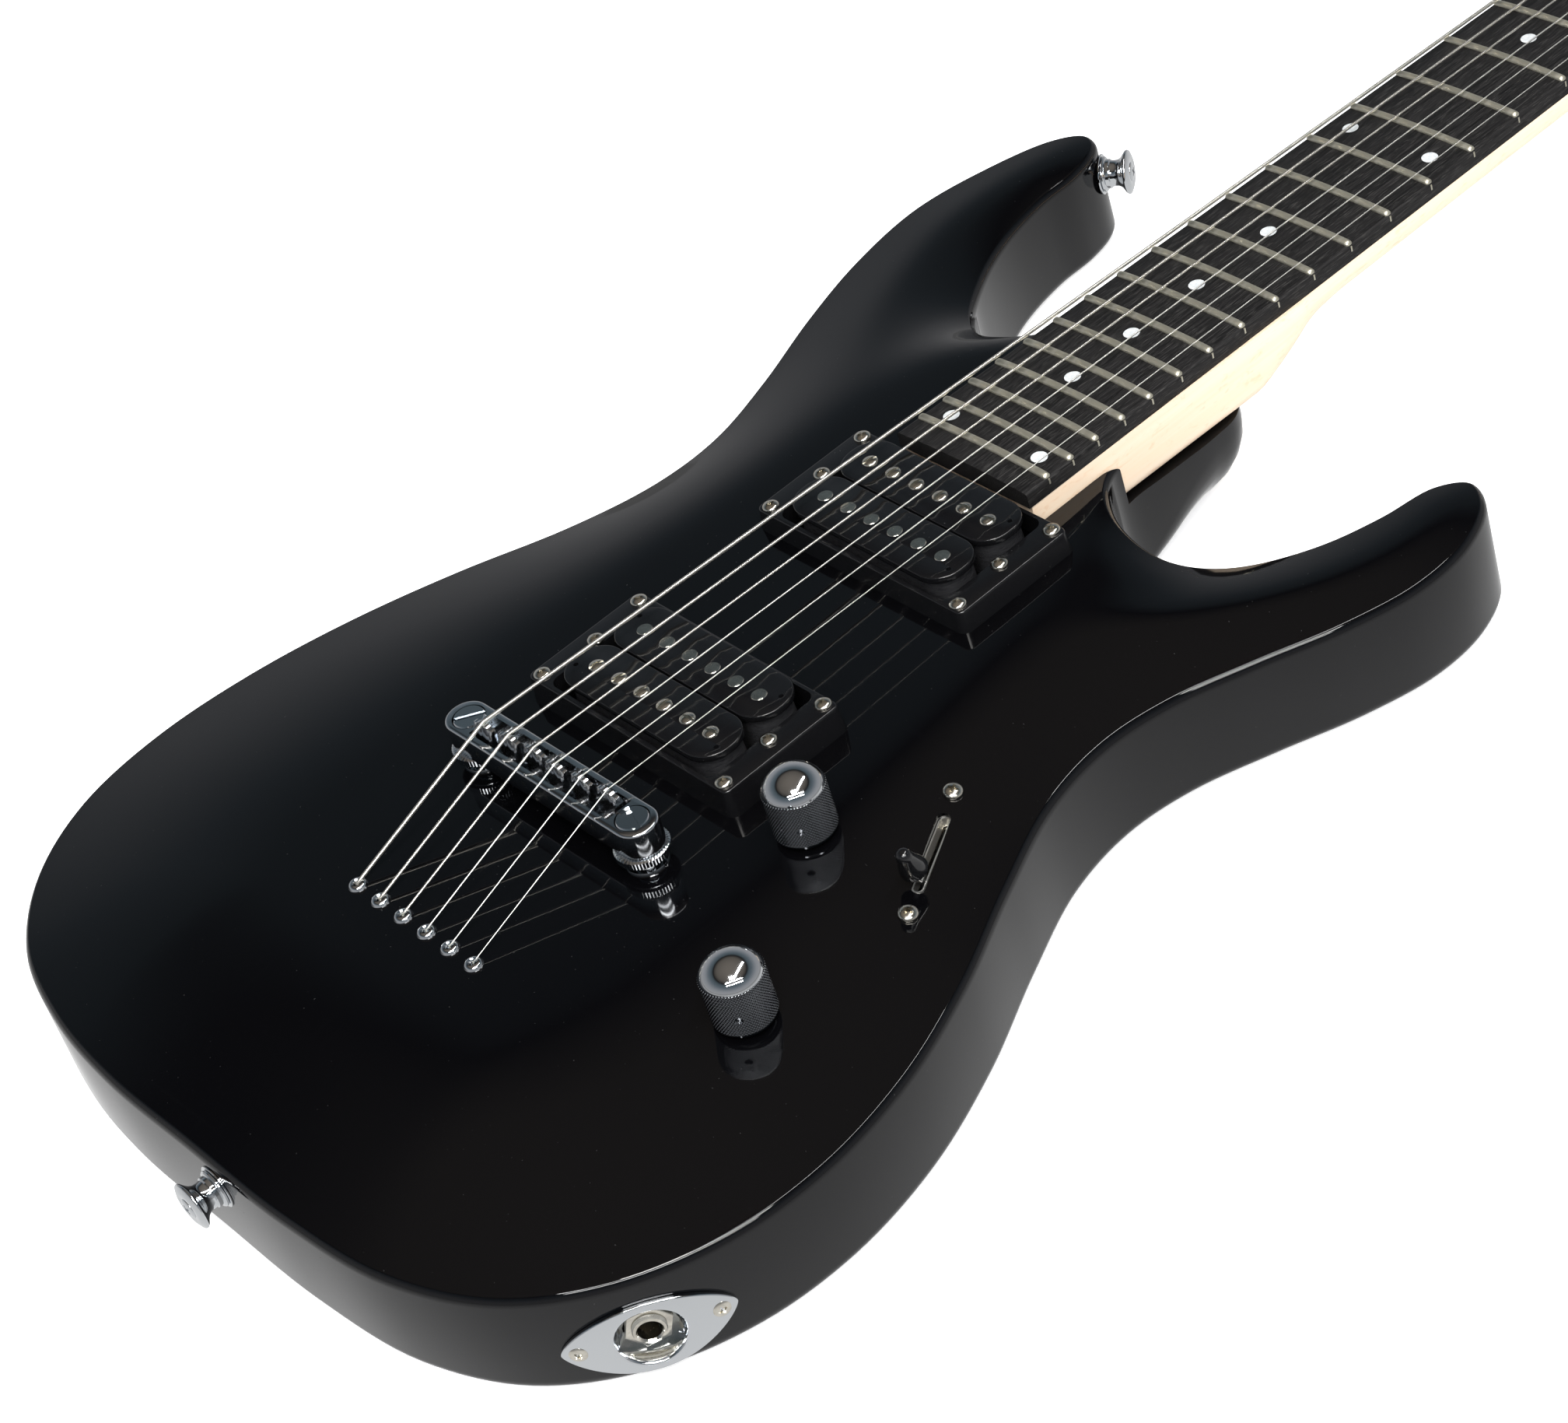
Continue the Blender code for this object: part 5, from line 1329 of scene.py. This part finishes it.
def make_ferrules():
    front = [mm(0.75, -3), mm(1.7, -3), mm(1.7, 0), mm(2.75, 0),
             mm(2.8, 0.25)] + arc(mm(1.5, 0.2), 1.2 * MM, 15, 95, 6) + [
             mm(1.0, 1.0), mm(0.75, 0.5)]
    back = [mm(1.9, 0), mm(1.9, 3.6), mm(3.15, 3.6), mm(3.15, 0), (2.9 * MM, -0.0), mm(2.2, 0.05)]
    for name, profile, z in (("front", front, TOP_Z), ("back", back, 0.1 * MM)):
        rings = around(profile, 40)
        mesh = loft(name + "_ferrule", rings, closed=True)
        for i in range(STRINGS):
            made = add_object("%s_ferrule_%d" % (name, i + 1), mesh, LOOKS["chrome"], None,
                              ((i - 2.5) * FERRULE_SPREAD, FERRULE_Y, z))


# ---- controls -----------------------------------------------------------------------------------------
KNURL_COUNT = 64                 # grooves around the knob, in each direction
KNURL_PITCH = 1.05 * MM
KNURL_DEPTH = 0.26 * MM


def diamond_knurl(turn, height):
    """Depth of a diamond knurl: two sets of crossing grooves."""
    across, up = KNURL_COUNT * turn, 2 * math.pi * height / KNURL_PITCH
    ridge = min(math.cos(across + up), math.cos(across - up))
    return KNURL_DEPTH * (min(1.0, (ridge + 1) / 1.6) - 1)


def knob_mesh():
    """A domed knob with its skirt's lower edge at Z = 0, its shaft, and a set-screw hole."""
    rows = [mm(0, -20), mm(2.9, -20), mm(2.9, 8), mm(6.2, 8),
            mm(6.2, -1), mm(8.1, -1), mm(8.35, -0.8), mm(8.35, 0.1)]
    steps = 92
    rows += [(KNOB_RADIUS, 0.25 * MM + (KNOB_WALL - 0.45 * MM) * k / steps) for k in range(steps + 1)]
    rows += [(KNOB_RADIUS - 0.25 * MM, KNOB_WALL)]
    steps = 18
    rows += [((KNOB_RADIUS - 0.25 * MM) * math.cos(a), KNOB_WALL + KNOB_DOME * math.sin(a) ** 1.3)
             for a in (math.pi / 2 * k / steps for k in range(1, steps))]
    rows.append((0, KNOB_WALL + KNOB_DOME))

    def ripple(turn, height):
        if 0.24 * MM < height < KNOB_WALL - 0.1 * MM:
            return diamond_knurl(turn, height)
        return 0.0

    mesh = turned("knob", rows, 448, ripple, 50)
    hole = turned("hole", [mm(0, 6.5), mm(1.15, 6.5), mm(1.15, 12), mm(0, 12)], 24)
    hole.transform(Matrix.Translation(mm(0, 0, 5.6)) @ Matrix.Rotation(math.radians(90), 4, "Y"))
    mesh = cut(mesh, hole)
    mesh.set_sharp_from_angle(angle=math.radians(50))
    return mesh


def make_controls():
    mesh = knob_mesh()
    recoat(mesh, "knob_chrome")
    grub = dome_screw("set_screw", 1.1 * MM, 0.3 * MM, True, 2.4 * MM)
    facing = Matrix.Rotation(math.radians(-42), 3, "Z")
    for name, (x, y) in KNOBS.items():
        z = top_at(x, y) + KNOB_GAP
        body = name + "_knob"
        stand = add_empty(body + "_stand", None, (x, y, z), facing)
        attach(stand, body)
        made = add_object(body + "_dome", mesh, None, stand, body=body)
        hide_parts(body)
        made = add_object(body + "_set_screw", grub, LOOKS["steel"], stand, mm(7.4, 0, 5.6),
                          Matrix.Rotation(math.radians(90), 3, "Y"), body)
        ring = [mm(3.9, -0.2), mm(5.6, -0.2), mm(5.6, 0.5), mm(5.2, 0.8), mm(3.9, 0.8)]
        rings = around(ring, 40)
        made = add_object(name + "_pot_nut", loft("pot_nut", rings, closed=True), LOOKS["steel"], None,
                          (x, y, z - KNOB_GAP), top_turn(x, y))


def make_switch():
    stand = add_empty("switch_stand", None, (*SWITCH_CENTRE, SWITCH_PIVOT_Z), SWITCH_TURN)
    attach(stand, "switch")
    lean = Matrix.Rotation(SWITCH_TILT, 3, "Y")
    blade = soft_prism("blade", rounded_rectangle(1.9 * MM, 0.8 * MM, 0.5 * MM, 4), -3 * MM, 36 * MM,
                       0.2 * MM, 0.4 * MM)
    made = add_object("switch_blade", blade, LOOKS["steel"], stand, (0, 0, 0), lean, "switch")
    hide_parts("switch_lever")
    rows = [mm(0, 30.2), mm(3.2, 30.2)] + arc(mm(3.2, 31), 0.8 * MM, -90, 20, 5)
    rows += [mm(3.85, 32.2), mm(3.3, 34.4), mm(2.6, 36.8), mm(2.3, 38.6)]
    rows += [(2.25 * MM * math.cos(a), 38.9 * MM + 2.1 * MM * math.sin(a))
             for a in (math.pi / 2 * k / 6 for k in range(1, 6))] + [mm(0, 41)]
    cap = turned("cap", rows, 40)
    made = add_object("switch_cap", cap, LOOKS["gloss_black"], stand, (0, 0, 0), lean, "switch")
    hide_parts("switch_tip")
    screw = dome_screw("switch_screw", 2.85 * MM, 1.9 * MM, False, 6 * MM)
    for sign, label in ((-1, "neck"), (1, "tail")):
        x = SWITCH_CENTRE[0] + sign * 21.8 * MM * SWITCH_ALONG[0]
        y = SWITCH_CENTRE[1] + sign * 21.8 * MM * SWITCH_ALONG[1]
        place_screw("switch_screw_" + label, screw, LOOKS["nickel"], None, (x, y, top_at(x, y)),
                    top_turn(x, y), GUITAR, 4 + sign)
    liner_out = np.array(rounded_rectangle(14.2 * MM, 1.75 * MM, 1.7 * MM, 8))
    liner = prism("liner", liner_out, -3.4 * MM, -0.5 * MM)
    liner = cut(liner, prism("opening", liner_out - inward_normals(liner_out) * -0.45 * MM,
                             -9 * MM, 9 * MM))
    liner.materials.clear()
    made = add_object("switch_liner", liner, LOOKS["plain_wire"], None,
                      (*SWITCH_CENTRE, top_at(*SWITCH_CENTRE)), SWITCH_TURN)
    floor = add_object("switch_face", soft_prism("face", rounded_rectangle(23 * MM, 5.2 * MM, 1 * MM),
                                                 0, 1.6 * MM), LOOKS["nickel"], None,
                       (*SWITCH_CENTRE, CAVITY_CEILING - 0.1 * MM), SWITCH_TURN)
    opening = prism("opening", rounded_rectangle(13 * MM, 1.3 * MM, 1.2 * MM), -5 * MM, 5 * MM)
    opened = cut(floor.data, opening)
    recoat(opened, "nickel")
    floor.data = opened


# ---- jack and strap buttons ----------------------------------------------------------------------------
def on_sweep(s, height, lift):
    angle = s / JACK_SWEEP_RADIUS
    reach = JACK_SWEEP_RADIUS + lift
    return (reach * math.sin(angle), height, reach * math.cos(angle) - JACK_SWEEP_RADIUS)


def make_jack():
    at, turn = rim_seat(JACK_NEAR, JACK_Z)
    half_long, half_high = JACK_PLATE_HALF
    thick, soft = 1.3 * MM, 0.45 * MM
    upper = []
    steps = 40
    for k in range(steps + 1):
        s = math.cos(math.pi * k / steps)
        upper.append((half_long * s, 1.9 * MM * math.sqrt(max(0.0, 1 - s ** 8))
                      + (half_high - 1.9 * MM) * max(0.0, 1 - s * s) ** 0.95))
    outline = upper + [(x, -y) for x, y in reversed(upper[1:-1])]
    flat = soft_prism("plate", outline, 0.05 * MM, thick, 0.1 * MM, soft)
    work = bmesh.new()
    work.from_mesh(flat)
    for low in range(-5, 6):
        everything = work.verts[:] + work.edges[:] + work.faces[:]
        bmesh.ops.bisect_plane(work, geom=everything, plane_co=(low * 4 * MM, 0, 0), plane_no=(1, 0, 0))
    work.to_mesh(flat)
    work.free()
    well = turned("well", [mm(0, -3), mm(9.75, -3), mm(9.75, 3), mm(0, 3)], 64)
    flat = cut(flat, well)
    rows = [mm(5.1, -8.3), mm(10.1, -8.3), mm(10.1, 0.9), mm(9.95, 1.28),
            mm(9.6, 1.3), mm(9.3, 1.15), mm(9.1, 0.8), mm(8.95, 0.2)]
    rows += [mm(8.7, -1.2), mm(8.3, -2.6), mm(7.7, -3.8), mm(7.1, -4.5), mm(6.5, -4.8), mm(5.1, -4.8)]
    rings = around(rows, 72)
    cup = loft("cup", rings, 40, closed=True)
    for mesh in (flat, cup):
        for v in mesh.vertices:
            v.co = on_sweep(v.co.x, v.co.y, v.co.z)
        mesh.shade_smooth()
        mesh.set_sharp_from_angle(angle=math.radians(35))
        mesh.materials.clear()
    plate = add_object("jack_plate_face", flat, LOOKS["chrome"], None, at, turn)
    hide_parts("jack_plate")
    bowl = add_object("jack_cup", cup, LOOKS["chrome"], None, at, turn)
    hexagon = [(5.9 * MM / math.cos(math.radians(30)) * math.cos(math.radians(60 * k + 12)),
                5.9 * MM / math.cos(math.radians(30)) * math.sin(math.radians(60 * k + 12)))
               for k in range(6)]
    nut = soft_prism("nut", hexagon, -4.6 * MM, -2.3 * MM, 0.1 * MM, 0.3 * MM, 3)
    bore = turned("bore", [mm(0, -10), mm(4.5, -10), mm(4.5, 2), mm(0, 2)], 32)
    nut = cut(nut, bore)
    nut.materials.clear()
    made = add_object("jack_nut", nut, LOOKS["nickel"], None, at, turn)
    rows = [mm(3.2, -30), mm(8, -30), mm(8, -8.8), mm(4.5, -8.8)]
    rows += [(4.45 * MM + 0.12 * MM * math.cos(math.pi * k), (-8.6 + 0.35 * k) * MM) for k in range(21)]
    rows += [mm(4.3, -1.0), mm(3.6, -0.8), mm(3.2, -1.3)]
    rings = around(rows, 48)
    barrel = add_object("jack_barrel", loft("barrel", rings, closed=True), LOOKS["nickel"], None, at, turn)
    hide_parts("jack_socket")
    # painted shade: a gloss black plug deep in the jack's bore, standing in for the shade inside it
    shade_plug = turned("bore_shade_plug", [mm(0, -31), mm(3.1, -31), mm(3.1, -12), mm(0, -12.4)], 32)
    made = add_object("jack_bore_shade_plug", shade_plug, LOOKS["gloss_black"], None, at, turn)
    screw = dome_screw("plate_screw", 2.5 * MM, 0.9 * MM, False, 6 * MM)
    for sign, label in ((-1, "tail"), (1, "side")):
        lean = Matrix.Rotation(sign * 18.5 * MM / JACK_SWEEP_RADIUS, 3, "Y")
        spot = at + turn @ Vector(on_sweep(sign * 18.5 * MM, 0, thick - 0.35 * MM))
        place_screw("jack_screw_" + label, screw, LOOKS["nickel"], None, spot, turn @ lean, GUITAR,
                    2 + sign)


def make_strap_buttons():
    rows = [mm(0, 0.6), mm(5.4, 0.6)] + arc(mm(5.2, 1.1), 0.5 * MM, -90, 60, 4)
    rows += [mm(5.3, 1.7), mm(4.7, 1.9), mm(4.7, 3.0), mm(4.3, 3.4),
             mm(4.2, 4.6), mm(4.3, 5.6), mm(4.9, 6.6), mm(5.9, 7.5), mm(6.8, 8.1)]
    rows += arc(mm(6.6, 8.7), 0.5 * MM, -50, 70, 5)
    rows += [mm(5.4, 9.75), mm(4.2, 9.95), mm(3.4, 9.8), mm(0, 9.8)]
    button = turned("button", rows, 64)
    washer = turned("washer", [(0, 0), mm(6.3, 0), mm(6.5, 0.15), mm(6.5, 0.45),
                               mm(6.3, 0.6), mm(0, 0.6)], 48)
    screw = dome_screw("strap_screw", 3.1 * MM, 0.9 * MM, False, 4 * MM)
    for name, (near, height) in STRAP_BUTTONS.items():
        at, turn = rim_seat(near, height)
        made = add_object(name + "_strap_post", button, LOOKS["chrome"], None, at, turn)
        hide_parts(name + "_strap_button")
        made = add_object(name + "_strap_washer", washer, LOOKS["chrome"], None, at, turn)
        spot = at + turn @ Vector(mm(0, 0, 9.5))
        place_screw(name + "_strap_screw", screw, LOOKS["chrome"], None, spot, turn, GUITAR, 1)


# ---- headstock and back ---------------------------------------------------------------------------------
TUNER_FRAMES = []


def make_tuner_frames():
    back = HEAD_FACE - HEAD_THICK - GAP
    lean = Matrix.Rotation(math.atan2(POST_STEP[1], POST_STEP[0]) + math.pi / 2, 3, "Z")
    for i in range(STRINGS):
        x, y = post_place(i)
        TUNER_FRAMES.append(add_empty("tuner_frame_%d" % (i + 1), NECK_FRAME, (x, y, back), lean))


def make_tuners():
    along_x = Matrix.Rotation(math.radians(90), 3, "Y")
    case = soft_prism("case", rounded_rectangle(9 * MM, 10 * MM, 3 * MM, 6, mm(0.5, 2.5)),
                      -11 * MM, 0, 1.6 * MM, 0.2 * MM)
    neck_tube = turned("tube", [mm(0, -10), mm(3.9, -10), mm(3.9, 12.4), mm(3.4, 12.8), mm(0, 12.8)], 32)
    neck_tube.transform(Matrix.Translation(mm(0, 7.7, -6)) @ along_x.to_4x4())
    post_rows = [mm(0, -4), mm(3, -4), mm(3, 21.2)]
    post_rows += [mm(2.7, 21.8), mm(2.4, 22.6), mm(2.4, 24.6),
                  mm(2.7, 25.8), mm(3, 26.6), mm(3, 27.4), mm(2.6, 28), mm(0, 28)]
    post = turned("post", post_rows, 40)
    hole = turned("hole", [mm(0, -5), mm(0.9, -5), mm(0.9, 5), mm(0, 5)], 20)
    hole.transform(Matrix.Translation(mm(0, 0, 23.4)) @ along_x.to_4x4())
    post = cut(post, hole)
    post.materials.clear()
    collar = 22.8 * MM - 8 * MM
    nut_rows = [(0, collar), (6.1 * MM, collar), (6.3 * MM, collar + 0.5 * MM),
                (5.2 * MM, collar + 0.9 * MM), (4.9 * MM, collar + 3.2 * MM),
                (4.5 * MM, collar + 3.6 * MM), (3.2 * MM, collar + 3.7 * MM), (0, collar + 3.7 * MM)]
    nut = turned("post_nut", nut_rows, 48, lambda turn, height: 0.0)
    key_rows = [(0, 0), mm(2.3, 0), mm(2.9, 0.8), mm(3.6, 2), mm(5.8, 3.4),
                mm(7.6, 5), mm(8.4, 7), mm(8.6, 9), mm(8.2, 11.4),
                mm(7.2, 13.8), mm(5.6, 15.8), mm(3.2, 16.8), mm(0, 17)]
    grip = turned("grip", key_rows, 48)
    for v in grip.vertices:
        v.co.y *= 0.42
    shaft = turned("shaft", [mm(0, -20), mm(1.9, -20), mm(1.9, 0.5), mm(0, 0.5)], 24)
    key = together("key", [grip, shaft])
    key.shade_smooth()
    key.materials.clear()
    small = dome_screw("tuner_screw", 1.5 * MM, 0.9 * MM, False, 4 * MM)
    button_screw = dome_screw("button_screw", 1.7 * MM, 0.8 * MM, False, 2 * MM)
    flip = Matrix.Rotation(math.pi, 3, "X")
    for i in range(STRINGS):
        tuner = TUNER_FRAMES[i]
        n = i + 1
        made = add_object("tuner_case_%d" % n, case, LOOKS["chrome"], tuner)
        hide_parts("tuner_housing_%d" % n)
        add_object("tuner_tube_%d" % n, neck_tube, LOOKS["chrome"], tuner)
        add_object("tuner_nut_%d" % n, nut, LOOKS["chrome"], tuner)
        made = add_object("string_post_%d" % n, post, LOOKS["chrome"], tuner, body="post_%d" % n)
        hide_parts("tuner_post_%d" % n)
        made = add_object("tuning_key_%d" % n, key, LOOKS["chrome"], tuner,
                          mm(14.5, 7.7, -6), along_x, "key_%d" % n)
        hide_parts("tuner_key_%d" % n)
        made = add_object("tuning_key_screw_%d" % n, button_screw, LOOKS["nickel"], tuner,
                          mm(31.4, 7.7, -6), along_x, "key_%d" % n)
        place_screw("tuner_screw_%d" % n, small, LOOKS["nickel"], tuner, mm(-4.5, 9, -10.9),
                    flip, GUITAR, n)


def make_headstock_fittings():
    cover = [(-6, 656), (6, 656), (9, 662), (9, 680), (4, 686), (-4, 686), (-9, 680), (-9, 662)]
    outline = smooth_closed(cover, 6) * MM
    made = add_object("rod_cover", soft_prism("rod_cover", outline, HEAD_FACE + 0.05 * MM,
                                              HEAD_FACE + 1.8 * MM, 0.1 * MM, 0.6 * MM),
                      LOOKS["gloss_black"], NECK_FRAME)
    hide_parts("truss_rod_cover")
    small = dome_screw("cover_screw", 1.6 * MM, 0.9 * MM, False, 5 * MM)
    for k, (x, y) in enumerate(((-5.4, 661), (5.4, 661), (0, 682.5))):
        place_screw("rod_cover_screw_%d" % (k + 1), small, LOOKS["nickel"], NECK_FRAME,
                    (x * MM, y * MM, HEAD_FACE + 1.75 * MM), None, GUITAR, k * 2)
    guide = turned("guide", [mm(0, -1), mm(2, -1), mm(2, 7.6), mm(3.9, 7.9),
                             mm(4.1, 8.3), mm(3.6, 8.9), mm(0, 9)], 40)
    past = SCALE + NUT_THICK
    for k, (pair, y) in enumerate(((4, 716 * MM), (2, 694 * MM))):
        spots = []
        for i in (pair, pair + 1):
            px, py = post_place(i)
            share = (y - past) / (py - past)
            x2 = (i - 2.5) * NUT_SPREAD
            spots.append(x2 + (px + 2.5 * MM - x2) * share)
        x = sum(spots) / 2
        made = add_object("string_guide_%d" % (k + 1), guide, LOOKS["chrome"], NECK_FRAME,
                          (x, y, HEAD_FACE))
        place_screw("string_guide_screw_%d" % (k + 1), small, LOOKS["nickel"], NECK_FRAME,
                    (x, y, HEAD_FACE + 8.8 * MM), None, GUITAR, k)


def make_back():
    lid = smooth_closed(CAVITY, 8) * MM
    lid = lid - inward_normals(lid) * (5 * MM - GAP)
    cover = soft_prism("lid", lid, 0.1 * MM, COVER_THICK, 0.3 * MM, 0.1 * MM)
    made = add_object("cavity_lid", cover, LOOKS["ring_black"], None)
    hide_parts("control_cover")
    flip = Matrix.Rotation(math.pi, 3, "X")
    small = dome_screw("lid_screw", 2.2 * MM, 0.5 * MM, False, 3 * MM)
    edge = smooth_closed(CAVITY, 8) * MM
    edge = edge - inward_normals(edge) * 1.6 * MM
    for k, n in enumerate((4, 20, 38, 58, 74)):
        x, y = edge[n]
        place_screw("lid_screw_%d" % (k + 1), small, LOOKS["nickel"], None, (x, y, 0.45 * MM), flip,
                    GUITAR, k)
    rows = [(0, 0), mm(4.9, 0), mm(5.2, 0.3), mm(5.2, 1)] + arc(
        mm(3.6, 0.7), 1.6 * MM, 20, 88, 5) + [mm(0, 2.35)]
    bolt = turned("bolt", rows, 48)
    for blade in cross_recess(2.35 * MM, 2.6 * MM, 1.7 * MM):
        bolt = cut(bolt, blade)
    bolt.materials.clear()
    cup_rows = [mm(2.5, -0.2), mm(6.25, -0.2), mm(6.25, 2.2), mm(5.9, 2.55),
                mm(5.5, 2.4), mm(5.3, 0.6), mm(2.5, 0.4)]
    rings = around(cup_rows, 48)
    cup = loft("bolt_cup", rings, closed=True)
    shank = turned("shank", [mm(0, -42), mm(2.1, -40), mm(2.1, 0.2), mm(0, 0.2)], 20)
    for k, (x, y) in enumerate(HEEL_SCREWS):
        place_screw("heel_bolt_%d" % (k + 1), bolt, LOOKS["chrome"], None, (x, y, 2.45 * MM), flip,
                    GUITAR, k)
        made = add_object("heel_bolt_cup_%d" % (k + 1), cup, LOOKS["chrome"], None, (x, y, 2.7 * MM), flip)
        made = add_object("heel_bolt_shank_%d" % (k + 1), shank, LOOKS["steel"], None, (x, y, 2.6 * MM),
                          flip)
        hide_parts("neck_screw_%d" % (k + 1))


def finish_frame_nodes():
    """Give the frame's own solids that still show, or sit inside, their finish."""
    looks = {"truss_rod": "steel", "volume_pot": "steel", "tone_pot": "steel", "switch_frame": "steel"}
    for name, look in looks.items():
        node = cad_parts[name]
        recoat(node.data, look)


make_body()
make_neck()
make_fingerboard()
make_frets()
make_nut()
make_pickups()
make_tuner_frames()
make_bridge()
make_strings()
make_ferrules()
make_controls()
make_switch()
make_jack()
make_strap_buttons()
make_tuners()
make_headstock_fittings()
make_back()
finish_frame_nodes()


# ---- studio ------------------------------------------------------------------------------------
FLOOR_IN_GLOSS = (0.3, 0.88)       # far from and close to the guitar


def make_floor():
    """A pale floor; in glossy rays it is a painted glow whose brightness falls away from the guitar's
    outline.
    """
    look, tree, shader = plain("pale floor", (0.9, 0.9, 0.9), 0.6)
    reach, cells = 1.6, 120
    spots = [(-reach + 2 * reach * i / cells, -reach + 2 * reach * j / cells)
             for j in range(cells + 1) for i in range(cells + 1)]
    row = cells + 1
    faces = [(j * row + i, j * row + i + 1, (j + 1) * row + i + 1, (j + 1) * row + i)
             for j in range(cells) for i in range(cells)]
    mesh = mesh_of("floor", [(x * 2.5, y * 2.5, 0) for x, y in spots], faces)
    rim = smooth_closed(RIM, 3) * MM
    away = distance_to_loop(np.array(spots) * 2.5, rim)
    glow = mesh.attributes.new("near", "FLOAT", "POINT")
    glow.data.foreach_set("value", np.exp(-away / (0.22)))
    plane = add_object("floor", mesh, look, None, (0, 0, -0.0005), None, None)
    path = tree.nodes.new("ShaderNodeLightPath")
    near = tree.nodes.new("ShaderNodeAttribute")
    near.attribute_name = "near"
    white = tree.nodes.new("ShaderNodeEmission")
    white.inputs["Color"].default_value = (1, 1, 1, 1)
    white.inputs["Strength"].default_value = 0.55
    both = tree.nodes.new("ShaderNodeAddShader")
    # painted reflection: glossy rays see an emitting floor whose glow fades with distance from the
    # guitar's outline
    dim = tree.nodes.new("ShaderNodeEmission")
    tree.links.new(band(tree, near.outputs["Fac"], 0.0, 1.0, *FLOOR_IN_GLOSS), dim.inputs["Strength"])
    choose = tree.nodes.new("ShaderNodeMixShader")
    out = tree.nodes["Material Output"]
    tree.links.new(shader.outputs[0], both.inputs[0])
    tree.links.new(white.outputs[0], both.inputs[1])
    tree.links.new(path.outputs["Is Glossy Ray"], choose.inputs[0])
    tree.links.new(both.outputs[0], choose.inputs[1])
    tree.links.new(dim.outputs[0], choose.inputs[2])
    tree.links.new(choose.outputs[0], out.inputs["Surface"])


def make_world():
    """Bright walls near the horizon under a dark ceiling, as in a studio tent."""
    world = bpy.data.worlds.new("studio")
    bpy.context.scene.world = world
    world.use_nodes = True
    tree = world.node_tree
    background = tree.nodes["Background"]
    place = tree.nodes.new("ShaderNodeTexCoord")
    parts = tree.nodes.new("ShaderNodeSeparateXYZ")
    ramp = tree.nodes.new("ShaderNodeValToRGB")
    stops = [(0.0, (0.42, 0.42, 0.43)), (0.25, (0.34, 0.35, 0.37)), (0.5, (0.14, 0.17, 0.195)),
             (0.62, (0.085, 0.11, 0.125)), (0.69, (0.016, 0.016, 0.017)), (0.8, (0.13, 0.115, 0.1)),
             (1.0, (0.2, 0.175, 0.15))]
    while len(ramp.color_ramp.elements) < len(stops):
        ramp.color_ramp.elements.new(0.5)
    for element, (where, colour) in zip(ramp.color_ramp.elements, stops):
        element.position = where
        element.color = (*colour, 1.0)
    tree.links.new(place.outputs["Generated"], parts.inputs[0])
    tree.links.new(parts.outputs["Z"], ramp.inputs[0])
    path = tree.nodes.new("ShaderNodeLightPath")
    pale = colour_mix(tree, path.outputs["Is Camera Ray"], ramp.outputs[0], (1.0, 1.0, 1.0))
    diffuse = colour_mix(tree, path.outputs["Is Diffuse Ray"], pale, (0.75, 0.77, 0.8))
    tree.links.new(diffuse, background.inputs["Color"])


def add_light(name, place, target, size, power, colour=(1, 1, 1)):
    lamp = bpy.data.lights.new(name, "AREA")
    lamp.shape = "RECTANGLE"
    lamp.size, lamp.size_y = size
    lamp.energy = power
    lamp.color = colour
    made = bpy.data.objects.new(name, lamp)
    bpy.context.scene.collection.objects.link(made)
    made.location = place
    made.rotation_euler = (Vector(target) - Vector(place)).to_track_quat("-Z", "Y").to_euler()


def make_camera():
    camera = bpy.data.cameras.new("camera")
    camera.lens = 97.0
    camera.sensor_width = 36.0
    made = bpy.data.objects.new("camera", camera)
    bpy.context.scene.collection.objects.link(made)
    right = Vector((0.64015, 0.72748, -0.24695))
    up = Vector((-0.36511, 0.57090, 0.73536))
    back = Vector((0.67595, -0.38058, 0.63108))
    turn = Matrix((right, up, back)).transposed().to_4x4()
    made.matrix_world = Matrix.Translation((0.8058, -0.3812, 0.7754)) @ turn
    bpy.context.scene.camera = made


make_world()
make_floor()
add_light("window softbox", (0.72, -0.42, 1.45), (0.05, 0.0, 0.05), (0.42, 0.26), 13, (1, 0.98, 0.95))
add_light("high strip", (0.95, -0.45, 1.25), (0.1, 0.0, 0.04), (1.5, 0.07), 13)
add_light("low strip", (1.15, -0.58, 1.1), (0.1, 0.0, 0.04), (1.5, 0.05), 10)
add_light("string strip", (0.5, 0.45, 1.4), (0.1, 0.25, 0.04), (1.5, 0.12), 14)
make_camera()
bpy.context.scene.view_settings.view_transform = "Standard"
